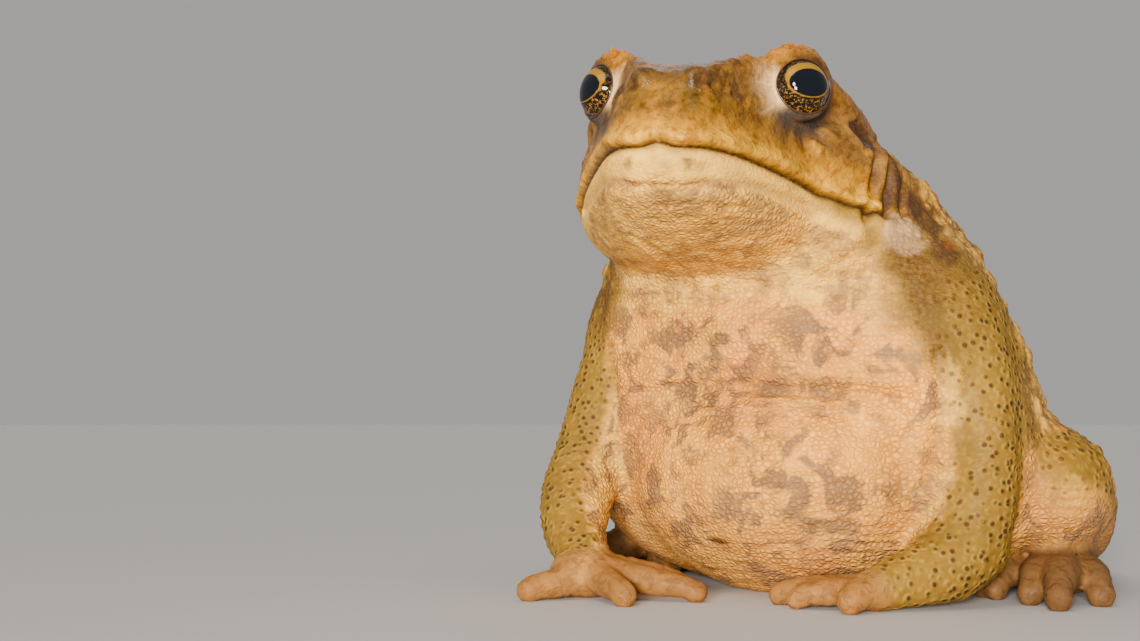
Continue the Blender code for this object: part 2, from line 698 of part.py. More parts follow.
def grown(piece, by):
    """A copy of a region pushed outwards by a gap."""
    copy = bpy.data.objects.new(piece.name + "_gap", piece.data.copy())
    bpy.context.scene.collection.objects.link(copy)
    set_coordinates(copy.data, coordinates(copy.data) + normals(copy.data) * by)
    return copy


def head_region(by=0.0):
    """The wedge in front of the neck and above the chest."""
    along = np.array(NECK_TOP) - np.array(NECK_FOOT)
    up = along / np.linalg.norm(along)
    side_way = np.array([1.0, 0.0, 0.0])
    basis = np.array([side_way, -np.cross(up, side_way), up])
    low, high = (-70.0, -by, -by), (60.0, 90.0, 70.0)
    name = "region_head" + ("_gap" if by else "")
    return box(name, low, high, lambda points: points @ basis + NECK_FOOT)


def clear_scene():
    """Removes every object that the scene starts with."""
    for piece in list(bpy.data.objects):
        bpy.data.objects.remove(piece)


def near(one, other):
    """Whether the bounding boxes of two objects meet."""
    a, b = coordinates(one.data), coordinates(other.data)
    return bool(np.all(a.min(0) < b.max(0)) and np.all(b.min(0) < a.max(0)))


def part_body(whole):
    """Parts the whole body by its regions; each part gives way to the ones before it by the gap."""
    parts = {}
    done = []
    order = [(part, side) for part in PART_NAMES for side in ("left", "right")] + [("head", "")]
    for part, side in order:
        solid = region(part, side) if side else head_region()
        gap = grown(solid, CUT_GAP / MM) if side else head_region(CUT_GAP / MM)
        name = part + "_" + side if side else part
        piece = bpy.data.objects.new(name, whole.data.copy())
        bpy.context.scene.collection.objects.link(piece)
        boolean(piece, solid, "INTERSECT")
        for other in done:
            if near(piece, other):
                boolean(piece, other, "DIFFERENCE")
        keep_largest(piece)
        parts[name] = piece
        done.append(gap)
    torso = bpy.data.objects.new("torso", whole.data.copy())
    bpy.context.scene.collection.objects.link(torso)
    for other in done:
        boolean(torso, other, "DIFFERENCE")
    keep_largest(torso)
    parts["torso"] = torso
    return parts


def finish(name, piece, home):
    """Gives the piece its name, its own material, smooth shading with sharp seams and its collection."""
    piece.name = name
    piece.data.name = name
    kind = name.split("_left")[0].split("_right")[0]
    skin = bpy.data.materials.new(name)
    skin.use_nodes = True
    surface = skin.node_tree.nodes["Principled BSDF"]
    surface.inputs["Base Color"].default_value = (*COLOURS.get(kind, SKIN_OLIVE), 1.0)
    surface.inputs["Roughness"].default_value = EYE_ROUGHNESS if kind == "eye" else SKIN_ROUGHNESS
    piece.data.materials.clear()
    piece.data.materials.append(skin)
    piece.data.shade_smooth()
    piece.data.set_sharp_from_angle(angle=SHARP_ANGLE)
    bpy.context.scene.collection.objects.unlink(piece)
    home.objects.link(piece)


def main():
    """Builds the toad."""
    clear_scene()
    home = bpy.data.collections.new("cane_toad")
    bpy.context.scene.collection.children.link(home)
    forms = [head_form(), trunk_form(), ellipsoid("belly", *BELLY), ellipsoid("chest", *CHEST)]
    forms += side_forms(1) + side_forms(-1) + limb_forms()
    whole = fuse("whole", forms)
    points = coordinates(whole.data)
    face = to_head(points)[:, 1] < FACE_DEPTH
    slim = points[:, 2] < DIGIT_HEIGHT
    relax(whole.data, RELAX_PASSES, np.where(slim, DIGIT_RELAX, np.where(face, FACE_RELAX, BODY_RELAX)))
    points = coordinates(whole.data)
    relief = face_relief(points) + wart_relief(points)
    set_coordinates(whole.data, points + normals(whole.data) * relief[:, None])
    thinned(whole, WHOLE_FACES)
    floor = box("below_floor", (-200, -200, -50), (200, 200, 0))
    boolean(whole, floor, "DIFFERENCE")
    parts = {}
    boolean(whole, mouth_cutter(whole), "DIFFERENCE")
    for side, name in ((1, "left"), (-1, "right")):
        boolean(whole, eye_socket("socket_" + name, side), "DIFFERENCE")
        boolean(whole, nostril_cutter(side), "DIFFERENCE")
        parts["eye_" + name] = eye_ball("eye_" + name, side)
    parts.update(part_body(whole))
    for piece in list(bpy.data.objects):
        if piece not in parts.values():
            bpy.data.objects.remove(piece)
    for name, piece in parts.items():
        finish(name, piece, home)


main()
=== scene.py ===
"""The looks of the life-size cane toad: one warty skin over all its flesh, two eyes and their rims.

Lengths in the tables are millimetres. The toad faces -Y, its left side is +X, and the floor is at z = 0.
"""

import math

import bpy
import numpy as np
from bpy.props import FloatProperty, FloatVectorProperty, IntProperty, PointerProperty
from mathutils import Matrix, Vector


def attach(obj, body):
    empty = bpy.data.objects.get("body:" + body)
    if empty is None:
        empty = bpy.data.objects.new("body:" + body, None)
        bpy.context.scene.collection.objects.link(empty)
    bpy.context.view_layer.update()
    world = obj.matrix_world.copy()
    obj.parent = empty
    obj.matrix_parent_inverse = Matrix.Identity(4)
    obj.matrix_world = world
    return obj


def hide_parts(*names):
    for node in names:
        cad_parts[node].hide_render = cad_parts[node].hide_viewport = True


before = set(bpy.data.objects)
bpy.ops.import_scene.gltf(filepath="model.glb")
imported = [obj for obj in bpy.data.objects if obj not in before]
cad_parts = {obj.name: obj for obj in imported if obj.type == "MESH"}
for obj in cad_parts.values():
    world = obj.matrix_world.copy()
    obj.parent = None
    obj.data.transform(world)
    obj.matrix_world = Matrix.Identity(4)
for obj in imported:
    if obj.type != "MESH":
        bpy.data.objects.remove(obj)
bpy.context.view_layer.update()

bl_info = {
    "name": "Cane toad model",
    "version": (1, 0, 0),
    "blender": (4, 5, 0),
    "location": "View3D > Sidebar > Toad",
    "description": "Builds the skin, eyes and stage of a life-size cane toad",
    "category": "Add Mesh",
}

MM = 0.001

# The head's own frame: x to the toad's left, s back from the snout tip, z up from the line of the mouth
SNOUT_TIP = (-1.3, -53.5, 81.4)
HEAD_TURN = math.radians(12.0)
HEAD_RAISE = math.radians(1.5)
HEAD_TILT = math.radians(3.4)
BROW_SHIFT = 0.8
EYE_PLACE = (18.0, 26.0, 16.6)
EYE_TURN = {1: math.radians(37.0), -1: math.radians(43.0)}
EYE_RAISE = math.radians(4.0)

# Head sections: back from the snout, half width, crown above and throat below the mouth line, crown power
HEAD_SECTIONS = (
    (0.0, 3.6, 6.0, 3.0, 2.8), (1.6, 6.6, 10.4, 5.4, 2.9), (4.0, 9.2, 13.8, 7.6, 3.0),
    (8.0, 12.0, 17.0, 10.0, 3.0), (14.0, 15.2, 19.2, 12.4, 3.0), (22.0, 19.4, 20.2, 14.8, 2.8),
    (30.0, 23.4, 20.6, 16.4, 2.5), (38.0, 27.2, 20.0, 17.4, 2.4), (45.0, 29.4, 18.6, 17.6, 2.4),
    (52.0, 28.0, 16.0, 16.4, 2.2),
)
THROAT_POWER = 2.5

# Trunk sections: back y and z, belly y and z, half width, share of the widest level, shift to the left
TRUNK_SECTIONS = (
    (-16.0, 92.0, -20.0, 66.0, 25.4, 0.50, -8.0), (-6.0, 92.5, -17.0, 58.0, 27.4, 0.48, -5.5),
    (6.0, 88.5, -18.0, 48.0, 34.4, 0.46, -3.3), (18.0, 81.0, -17.0, 38.0, 43.2, 0.42, -2.0),
    (30.0, 71.5, -15.0, 20.0, 47.6, 0.38, -0.8), (40.0, 61.5, -8.0, 5.0, 49.4, 0.36, 0.0),
    (49.0, 50.5, 8.0, -1.0, 50.2, 0.38, 0.0), (57.0, 40.0, 28.0, -1.0, 48.6, 0.42, 0.0),
    (64.0, 30.0, 46.0, -1.0, 41.0, 0.44, 0.0), (69.0, 20.0, 58.0, 0.0, 28.0, 0.46, 0.0),
    (71.0, 12.5, 66.0, 3.0, 14.0, 0.50, 0.0),
)
TRUNK_POWER = 2.1
BELLY = ((0.0, 4.0, 23.6), (35.5, 28.0, 25.2))
CHEST = ((0.0, -2.0, 52.0), (29.0, 17.5, 13.0))

# Limb paths: x, y, z and radius at each knot
LEFT_UPPER_ARM = (
    (25, 8, 62, 9.0), (33, 3, 53, 10.2), (37.5, 0, 44, 8.6), (40, -2, 33, 7.1), (39.8, -3, 22, 7.4),
    (37.5, -4, 11.5, 8.2),
)
LEFT_FOREARM = ((37.5, -4, 11.5, 8.2), (35, -9, 8.0, 7.4), (31, -15, 5.8, 5.6), (26.5, -20.5, 4.2, 4.2))
RIGHT_UPPER_ARM = (
    (-28, 6, 63, 11.0), (-34, 1, 53, 10.4), (-37, -3, 44, 9.2), (-39.3, -6.5, 35, 8.2), (-40.3, -10.5, 26, 7.8),
)
RIGHT_FOREARM = (
    (-40.3, -10.5, 26, 7.8), (-40.2, -15.5, 19, 7.8), (-37.0, -22, 12.5, 6.8), (-31.5, -27.5, 7.4, 5.2),
)
THIGH = ((20, 52, 21, 15.0), (32, 42, 21, 15.0), (42, 28, 21.5, 13.4), (48.3, 17, 21, 12.2))
SHANK = ((48.3, 17, 21, 12.2), (48, 30, 15.5, 10.4), (46, 46, 12, 8.6), (43.5, 62, 8.0, 6.0))
TARSUS = ((43.5, 62, 7.2, 6.0), (44.5, 50, 6.2, 5.2), (46, 38, 6.0, 5.6), (48, 26, 6.4, 6.0), (50, 18, 6.6, 5.6))
RIGHT_LEG_SHIFT = (4.0, 4.0, 0.0)

# Digits: root, knuckle and tip, then the radius at the root and at the tip
LEFT_FINGERS = (
    ((24, -19, 3.8), (16, -17.5, 3.0), (11, -16.5, 1.7), 2.8, 2.2),
    ((23.5, -20.5, 3.8), (14, -20.8, 3.2), (7.5, -21.5, 1.8), 2.9, 2.4),
    ((24, -22, 3.6), (17, -24.0, 3.0), (12.5, -26.0, 1.7), 2.8, 2.2),
    ((25.5, -22.0, 3.6), (24.5, -25.0, 3.2), (23.4, -27.6, 2.1), 3.0, 2.7),
)
RIGHT_FINGERS = (
    ((-27, -27, 5.6), (-21, -20.5, 4.0), (-15.5, -15.5, 1.8), 3.1, 2.3),
    ((-26, -30, 5.2), (-16, -28.6, 3.6), (-7.2, -26.6, 1.9), 3.3, 2.4),
    ((-27, -31, 4.8), (-21.0, -35.6, 3.4), (-16.2, -38.8, 2.0), 3.2, 2.7),
    ((-29, -32, 4.6), (-32.4, -37.0, 3.0), (-35.6, -41.2, 2.0), 3.3, 2.7),
)
TOES = (
    ((43, 24, 4.4), (38.5, 15.0, 3.6), (37.0, 9.0, 1.6), 3.2, 2.1),
    ((44.5, 22, 5.2), (41.2, 12.0, 4.6), (40.2, 6.5, 1.8), 3.4, 2.3),
    ((47.5, 19, 6.0), (47.6, 7.0, 5.2), (47.6, 2.0, 2.0), 3.6, 2.6),
    ((50.5, 18, 6.4), (53.0, 3.0, 5.2), (54.0, -3.5, 2.0), 3.8, 2.8),
    ((53.0, 19, 5.8), (57.0, 12.0, 5.0), (59.4, 7.0, 2.0), 3.7, 2.8),
)
PADS = (
    ((-29.5, -30.5, 4.6), (7.6, 6.4, 4.8)), ((25.5, -20.5, 3.4), (5.2, 4.8, 3.8)),
    ((49.5, 19.5, 4.8), (8.2, 8.4, 4.6)),
)

# Ridges of the head in its own frame, on the left: x, s, z and radius at each knot
LIP_FORWARD = ((0.0, 2.0, 2.4, 2.4), (4.0, 2.2, 2.4, 2.4), (7.0, 4.0, 2.4, 2.4))
CANTHUS = ((4.6, 5.0, 13.8, 2.4), (7.6, 11.0, 16.6, 2.6), (10.8, 17.5, 19.2, 2.6))
BROW = ((10.6, 17.0, 19.0, 2.6), (14.8, 19.6, 22.2, 2.6), (19.0, 24.6, 23.6, 2.8), (21.0, 32.0, 21.0, 2.8))
TEMPLE = ((20.6, 32.0, 19.4, 3.6), (24.0, 39.0, 15.4, 4.4), (26.6, 46.0, 12.0, 4.6), (26.6, 53.0, 8.4, 5.0))
LIDS = ((16.4, 26.6, 17.3), (7.4, 7.7, 7.5))
PAROTOID = (
    (9.2, -20.0, 84.5, 6.4), (14.4, -11.0, 84.0, 8.2), (17.8, -1.5, 79.0, 9.4), (22.8, 7.5, 72.6, 9.4),
    (28.4, 15.5, 65.0, 8.0),
)
PAROTOID_LEAN = (-15.0, -12.0, -9.0, -6.0, -5.0)

# Lines of the face in its own frame, on the left
MOUTH = (
    (0.0, 0.2, 0.5), (3.5, 0.7, 0.8), (7.0, 3.0, 1.0), (9.8, 6.5, 1.0), (12.6, 11.0, 0.8), (15.4, 16.0, 0.2),
    (17.7, 20.0, -0.3), (19.8, 24.0, -0.9), (21.9, 28.0, -1.7), (23.8, 31.5, -2.7), (25.4, 34.5, -3.8),
    (26.6, 37.0, -4.9), (27.4, 39.5, -6.0),
)
LIP_FOLD = (
    (0.0, 1.6, -6.6), (4.0, 2.4, -6.8), (7.6, 4.6, -5.2), (11.0, 9.0, -4.0), (15.2, 16.0, -3.6),
    (19.6, 24.0, -4.4), (22.6, 29.0, -5.0), (24.6, 33.0, -5.8),
)
NOSTRIL = (4.6, 5.0, 14.2)
TYMPANUM = (29.4, 38.0, 9.6)
TYMPANUM_RADIUS = 3.3
TEMPLE_SHIFT = {1: 0.4, -1: 2.2}
CHEEK_RIDGES = (
    ((24.0, 30.0, 10.0), (25.8, 32.6, 7.4), (27.0, 35.0, 4.6)),
    ((22.4, 27.0, 6.6), (24.6, 30.0, 4.8), (26.2, 32.4, 3.0)),
)
LIP_PEAK = 1.0
LOREAL_LINE = ((6.0, 3.4, 13.6), (8.6, 6.4, 12.6), (11.4, 10.0, 12.0), (14.8, 15.0, 10.0))
EYE_FRONT = ((14.6, 19.4, 14.6), (3.4, 3.6, 5.0))
EYE_SIDES = {"left": 1, "right": -1}
FLESH = [
    part + "_" + side
    for part in ("upper_arm", "forearm", "hand", "thigh", "shank", "foot")
    for side in ("left", "right")
] + ["head", "torso"]


class ToadSizes(bpy.types.PropertyGroup):
    """Sizes that a user would change."""

    fuse_step: FloatProperty(
        name="Fuse step", description="Cell size in which the forms of the body are fused",
        default=0.0009, subtype="DISTANCE", unit="LENGTH",
    )
    skin_triangles: IntProperty(
        name="Skin triangles", description="How many triangles the finished skin has", default=196000,
    )
    wart_height: FloatProperty(
        name="Wart height", description="How far the larger warts stand out of the skin",
        default=0.00125, subtype="DISTANCE", unit="LENGTH",
    )
    eye_radius: FloatProperty(
        name="Eye radius", description="Radius of each eyeball",
        default=0.0064, subtype="DISTANCE", unit="LENGTH",
    )


def colour(name, description, value):
    """A colour property, given as linear red, green and blue."""
    return FloatVectorProperty(
        name=name, description=description, default=value, size=3, min=0, max=1, subtype="COLOR",
    )


class ToadColours(bpy.types.PropertyGroup):
    """Colours that a user would change."""

    cream: colour("Cream", "Ground colour of chest and belly", (0.92, 0.405, 0.045))
    pale: colour("Pale", "Lower lip, neck and inner arms", (0.88, 0.50, 0.070))
    peach: colour("Peach", "Warm tint of belly and shanks", (0.80, 0.29, 0.055))
    marbling: colour("Marbling", "Grey-brown blotches of the belly", (0.22, 0.120, 0.060))
    olive: colour("Olive", "Ground colour of arms and knees", (0.270, 0.150, 0.016))
    flank: colour("Flank", "Warts of the flanks", (0.72, 0.40, 0.085))
    back: colour("Back", "Ground colour of the back", (0.085, 0.050, 0.018))
    # Gold stands for golden skin along the upper lip and the cheek ridges, and partly for a painted wet highlight
    # at the lip's edge
    gold: colour("Gold", "Bright skin along the upper lip", (0.76, 0.37, 0.010))
    ochre: colour("Ochre", "Golden skin of lips and brows", (0.43, 0.180, 0.006))
    snout: colour("Snout", "Olive-brown skin of the snout", (0.095, 0.050, 0.007))
    orange: colour("Orange", "Tips of warts and ridges", (0.34, 0.090, 0.006))
    umber: colour("Umber", "Dark brown spots and patches", (0.055, 0.025, 0.011))
    tan: colour("Tan", "Skin of hands", (0.26, 0.112, 0.026))
    brown: colour("Brown", "Skin of feet", (0.130, 0.062, 0.020))
    rose: colour("Rose", "Pale pinkish skin before the eyes and on the neck", (0.70, 0.43, 0.19))
    mauve: colour("Mauve", "Skin of the lower lids", (0.050, 0.036, 0.030))


def head_matrix():
    """The matrix from the head's frame to the toad's: turned, raised and tilted about the snout tip."""
    turn = Matrix.Rotation(HEAD_TURN, 4, "Z")
    lift = Matrix.Rotation(-HEAD_RAISE, 4, "X")
    tilt = Matrix.Rotation(HEAD_TILT, 4, "Y")
    return np.array(Matrix.Translation(SNOUT_TIP) @ turn @ lift @ tilt)


HEAD = head_matrix()
HEAD_BACK = np.linalg.inv(HEAD)


def from_head(points):
    """Points of the head's frame in the toad's frame."""
    return np.asarray(points, float) @ HEAD[:3, :3].T + HEAD[:3, 3]


def to_head(points):
    """Points of the toad's frame in the head's frame."""
    return np.asarray(points, float) @ HEAD_BACK[:3, :3].T + HEAD_BACK[:3, 3]


def through(knots, per_span):
    """A smooth run of points through the knots: on each span the Catmull-Rom cubic of the four knots round it."""
    knots = np.asarray(knots, float)
    padded = np.vstack([2 * knots[0] - knots[1], knots, 2 * knots[-1] - knots[-2]])
    t = (np.arange(per_span) / per_span)[None, :, None]
    p, q, r, s = (padded[i : len(padded) - 3 + i][:, None, :] for i in range(4))
    run = 0.5 * (2 * q + (r - p) * t + (2 * p - 5 * q + 4 * r - s) * t**2 + (s - p + 3 * (q - r)) * t**3)
    return np.vstack([run.reshape(-1, knots.shape[1]), knots[-1:]])


def smooth(low, high, value):
    """Nought below low, one above high, and between them 3t^2 - 2t^3 of the share t of the way."""
    share = np.clip((value - low) / (high - low), 0, 1)
    return share * share * (3 - 2 * share)


def bell(distance, width):
    """One at no distance, falling as e to the minus square of distance over width."""
    return np.exp(-((distance / width) ** 2))


def unit(vectors):
    """Vectors of length one along the given ones."""
    return vectors / np.linalg.norm(vectors, axis=-1, keepdims=True)


def loft(rings):
    """Points and quads of a closed body over a stack of equal rings, each end closed on its ring's middle."""
    rings = np.asarray(rings, float)
    count, sides = rings.shape[:2]
    points = np.vstack([rings.reshape(-1, 3), rings[0].mean(0), rings[-1].mean(0)])
    here = np.arange(sides)
    after = (here + 1) % sides
    row = (np.arange(count - 1) * sides)[:, None]
    quads = np.stack([row + here, row + after, row + sides + after, row + sides + here], -1).reshape(-1, 4)
    top = (count - 1) * sides
    first = np.stack([np.full(sides, count * sides), after, here, here], -1)
    last = np.stack([np.full(sides, count * sides + 1), top + here, top + after, top + after], -1)
    return points, quads, np.vstack([first, last])[:, :3]


def tube(knots, sides=16, per_span=5):
    """A round limb along (x, y, z, radius) knots: at each point of the line a circle of its radius square to it,
    in a frame carried along without twist, and a quarter-round dome at each end."""
    line = through(knots, per_span)
    ahead = unit(np.gradient(line[:, :3], axis=0))
    angles = np.linspace(0, 2 * math.pi, sides, endpoint=False)
    across = np.cross(ahead[0], (0.31, 0.17, 0.93))
    turns = []
    for way in ahead:
        across = unit(across - way * (across @ way))
        turns.append(np.outer(np.cos(angles), across) + np.outer(np.sin(angles), np.cross(way, across)))
    turns = np.array(turns)
    body = line[:, None, :3] + turns * line[:, 3][:, None, None]
    dome = (np.linspace(0.15, 1.0, 4) * math.pi / 2)[:, None, None]
    low = line[0, :3] - ahead[0] * line[0, 3] * np.sin(dome) + turns[0] * line[0, 3] * np.cos(dome)
    high = line[-1, :3] + ahead[-1] * line[-1, 3] * np.sin(dome) + turns[-1] * line[-1, 3] * np.cos(dome)
    return loft(np.concatenate([low[::-1][1:], body, high[:-1]]))


def head_tube(knots, side=1, shift=0.0):
    """A tube whose knots are given in the head's frame, for side 1, the left, or -1, the right."""
    knots = np.array(knots, float) * (side, 1, 1, 1) + (shift, 0, 0, 0)
    return tube(np.column_stack([from_head(knots[:, :3]), knots[:, 3]]))


def ball_rings(polar, angles):
    """Points on a ball of radius one, by the angle from its top and the angle round it."""
    around = np.sin(polar)
    return np.stack([around * np.cos(angles), around * np.sin(angles), np.cos(polar) + 0 * angles], -1)


def ellipsoid(centre, radii, place=None, sides=24, rows=16):
    """A ball with its own radius along each axis: rings at equal steps of the angle from its top."""
    angles = np.linspace(0, 2 * math.pi, sides, endpoint=False)[None, :]
    polar = np.linspace(0.06, math.pi - 0.06, rows)[:, None]
    rings = ball_rings(polar, angles) * radii + centre
    return loft(rings if place is None else place(rings))


def half_oval(angles, half_width, rise, drop, rise_power, drop_power):
    """x and z round a section whose upper and lower halves are superellipses of their own."""
    cosine, sine = np.cos(angles), np.sin(angles)
    power = np.where(sine > 0, rise_power, drop_power)
    height = np.where(sine > 0, rise, drop)
    x = half_width * np.sign(cosine) * np.abs(cosine) ** (2 / power)
    return x, height * np.sign(sine) * np.abs(sine) ** (2 / power)


def head_form():
    """The skull, lips and throat: superellipse sections stacked from the snout to the nape."""
    angles = np.linspace(0, 2 * math.pi, 64, endpoint=False)[None, :]
    back, half_width, crown, throat, power = through(HEAD_SECTIONS, 5).T[:, :, None]
    x, z = half_oval(angles, half_width, crown, throat, power, THROAT_POWER)
    return loft(from_head(np.stack([x, back + 0 * x, z], -1)))


def trunk_form():
    """Neck, back and belly: a fan of superellipse sections, each standing between its back and belly points."""
    angles = np.linspace(0, 2 * math.pi, 64, endpoint=False)[None, :]
    back_y, back_z, belly_y, belly_z, half_width, widest, left = through(TRUNK_SECTIONS, 5).T[:, :, None]
    x, level = half_oval(angles, half_width, 1 - widest, widest, TRUNK_POWER, TRUNK_POWER)
    share = level + widest
    y = share * back_y + (1 - share) * belly_y
    z = share * back_z + (1 - share) * belly_z
    return loft(np.stack([x + left, y, z], -1))


def parotoid_knots(side):
    """The knots of one gland: the right one lies further out, for the neck leans to the right."""
    knots = np.array(PAROTOID) * (side, 1, 1, 1)
    knots[:, 0] += np.array(PAROTOID_LEAN) * (side < 0)
    return knots


def side_forms(side):
    """Lip, snout ridge, brow, temple, lids and gland of one side of the head."""
    lip = [(row[1] - 2.0, row[0] + 0.6, 2.4, 2.5) for row in HEAD_SECTIONS[1:9]]
    (x, s, z), radii = LIDS
    return [
        head_tube(lip, side),
        head_tube(LIP_FORWARD, side),
        head_tube(CANTHUS, side, 0.5 * BROW_SHIFT),
        head_tube(BROW, side, BROW_SHIFT),
        head_tube(TEMPLE, side, TEMPLE_SHIFT[side]),
        tube(parotoid_knots(side)),
        ellipsoid((side * x + BROW_SHIFT, s, z), radii, from_head),
        ellipsoid((side * EYE_FRONT[0][0] + BROW_SHIFT, *EYE_FRONT[0][1:]), EYE_FRONT[1], from_head),
    ]


def right_leg(knots):
    """A left leg's rows turned to the right side and moved in behind the right arm."""
    rows = np.array(knots, float)
    rows[..., 0] *= -1
    rows[..., :3] += RIGHT_LEG_SHIFT
    return rows


def digit_knots(digit):
    """The (x, y, z, radius) knots of one finger or toe, swollen at its middle joint and its tip."""
    root, knuckle, tip, root_radius, tip_radius = digit
    middle = 0.5 * (root_radius + tip_radius)
    near_tip = 0.3 * np.array(knuckle) + 0.7 * np.array(tip) + (0, 0, 0.5)
    return np.array([
        (*root, root_radius), (*knuckle, middle * 1.04),
        (*near_tip, tip_radius * 0.96), (*tip, tip_radius * 1.05),
    ])


def limb_paths():
    """The paths of all limbs by kind: arms, hands, legs and feet."""
    toes = np.array([digit_knots(toe) for toe in TOES])
    return {
        "arm": [np.array(p, float) for p in (LEFT_UPPER_ARM, LEFT_FOREARM, RIGHT_UPPER_ARM, RIGHT_FOREARM)],
        "hand": [digit_knots(finger) for finger in LEFT_FINGERS + RIGHT_FINGERS],
        "leg": [np.array(THIGH, float), np.array(SHANK, float), right_leg(THIGH), right_leg(SHANK)],
        "foot": [np.array(TARSUS, float), right_leg(TARSUS), *toes, *right_leg(toes)],
    }


def limb_forms():
    """Arms, legs, fingers and toes as tapered tubes, and palms and soles as flattened balls."""
    forms = [tube(path, *((12, 4) if len(path) == 4 and path[0][3] < 4 else (16, 5)))
             for paths in limb_paths().values() for path in paths]
    right_hand, left_hand, left_foot = PADS
    right_foot = (right_leg([left_foot[0]])[0], left_foot[1])
    return forms + [ellipsoid(*pad) for pad in (right_hand, left_hand, left_foot, right_foot)]


def joined(name, forms):
    """One mesh object that holds all the forms' points and faces, in metres."""
    points, faces, start = [], [], 0
    for place, quads, triangles in forms:
        points.append(place)
        faces += (quads + start).tolist() + (triangles + start).tolist()
        start += len(place)
    mesh = bpy.data.meshes.new(name)
    mesh.from_pydata((np.vstack(points) * MM).tolist(), [], faces)
    piece = bpy.data.objects.new(name, mesh)
    bpy.context.scene.collection.objects.link(piece)
    return piece


def applied(piece):
    """The piece with its modifiers made part of its mesh."""
    graph = bpy.context.evaluated_depsgraph_get()
    mesh = bpy.data.meshes.new_from_object(piece.evaluated_get(graph))
    piece.modifiers.clear()
    piece.data = mesh
    mesh.name = piece.name
    return piece


def coordinates(mesh):
    """The mesh's points in millimetres."""
    flat = np.empty(len(mesh.vertices) * 3, np.float32)
    mesh.vertices.foreach_get("co", flat)
    return flat.reshape(-1, 3).astype(float) / MM


def set_coordinates(mesh, points):
    """Puts points in millimetres back into the mesh."""
    mesh.vertices.foreach_set("co", (points * MM).astype(np.float32).ravel())
    mesh.update()


def normals(mesh):
    """The mesh's point normals."""
    flat = np.empty(len(mesh.vertices) * 3, np.float32)
    mesh.vertex_normals.foreach_get("vector", flat)
    return flat.reshape(-1, 3).astype(float)


def relax(mesh, passes, strength):
    """Moves each point towards the mean of its neighbours, by its own strength from 0 to 1."""
    points = coordinates(mesh)
    ends = np.empty(len(mesh.edges) * 2, np.int32)
    mesh.edges.foreach_get("vertices", ends)
    a, b = ends.reshape(-1, 2).T
    count = np.bincount(a, minlength=len(points)) + np.bincount(b, minlength=len(points))
    for _ in range(passes):
        mean = np.empty_like(points)
        for axis in range(3):
            column = points[:, axis]
            total = np.bincount(a, column[b], len(points)) + np.bincount(b, column[a], len(points))
            mean[:, axis] = total / count
        points += (mean - points) * strength[:, None]
    set_coordinates(mesh, points)


def distance_to(points, line):
    """Each point's distance from a polyline, and how far along it the nearest place is."""
    line = np.asarray(line, float)
    nearest = np.full(len(points), np.inf)
    along_line = np.zeros(len(points))
    gone = 0.0
    for start, end in zip(line, line[1:]):
        along = end - start
        length = np.linalg.norm(along)
        share = np.clip((points - start) @ along / length**2, 0, 1)
        distance = np.linalg.norm(points - start - share[:, None] * along, axis=1)
        closer = distance < nearest
        nearest = np.where(closer, distance, nearest)
        along_line = np.where(closer, gone + share * length, along_line)
        gone += length
    return nearest, along_line


def draws(cells, seed):
    """Four even draws from 0 to 1 for each whole-number cell, got by multiplying and shifting its numbers."""
    factors = np.array([73856093, 19349663, 83492791], np.uint64)
    mixed = (cells.astype(np.int64).astype(np.uint64) * factors).sum(-1) + np.uint64(seed * 2654435761)
    found = []
    for step in range(4):
        mixed = mixed ^ (mixed >> np.uint64(29))
        mixed = mixed * np.uint64(0xBF58476D1CE4E5B9) + np.uint64(step + 1)
        found.append((mixed >> np.uint64(40)).astype(float) / 2**24)
    return np.stack(found, -1)


def scattered(points, size, seed):
    """The distance from each point to the nearest of centres scattered one to a cell of the given size, and
    that centre's own draw."""
    cell = np.floor(points / size)
    nearest = np.full(len(points), np.inf)
    own = np.zeros(len(points))
    for offset in np.ndindex(3, 3, 3):
        there = cell + np.array(offset) - 1
        draw = draws(there, seed)
        distance = np.linalg.norm((there + 0.1 + 0.8 * draw[:, :3]) * size - points, axis=1)
        closer = distance < nearest
        nearest = np.where(closer, distance, nearest)
        own = np.where(closer, draw[:, 3], own)
    return nearest, own


def cloud(points, size, seed):
    """Smooth noise from -1 to 1: draws at the corners of cells, blended by 3t^2 - 2t^3 along each axis."""
    place = points / size
    cell = np.floor(place)
    share = place - cell
    share = share * share * (3 - 2 * share)
    total = np.zeros(len(points))
    for corner in np.ndindex(2, 2, 2):
        corner = np.array(corner)
        weight = np.prod(np.where(corner, share, 1 - share), axis=1)
        total += weight * draws(cell + corner, seed)[:, 0]
    return 2 * total - 1


def limb_share(points, paths, reach):
    """One on the limbs of these paths, falling to nought as a point lies further than reach outside them; and
    the share of its offset from the limb's line that points away from the body's middle."""
    outside = np.full(len(points), np.inf)
    outward = np.zeros(len(points))
    for path in paths:
        side = np.sign(path[:, 0].mean())
        line = through(path, 3)
        for start, end in zip(line, line[1:]):
            along = end[:3] - start[:3]
            share = np.clip((points - start[:3]) @ along / (along @ along), 0, 1)
            radius = start[3] + share * (end[3] - start[3])
            offset = points - start[:3] - share[:, None] * along
            distance = np.linalg.norm(offset, axis=1)
            closer = distance - radius < outside
            outside = np.where(closer, distance - radius, outside)
            outward = np.where(closer, side * offset[:, 0] / np.maximum(distance, 0.1), outward)
    return 1 - smooth(0, reach, outside), outward


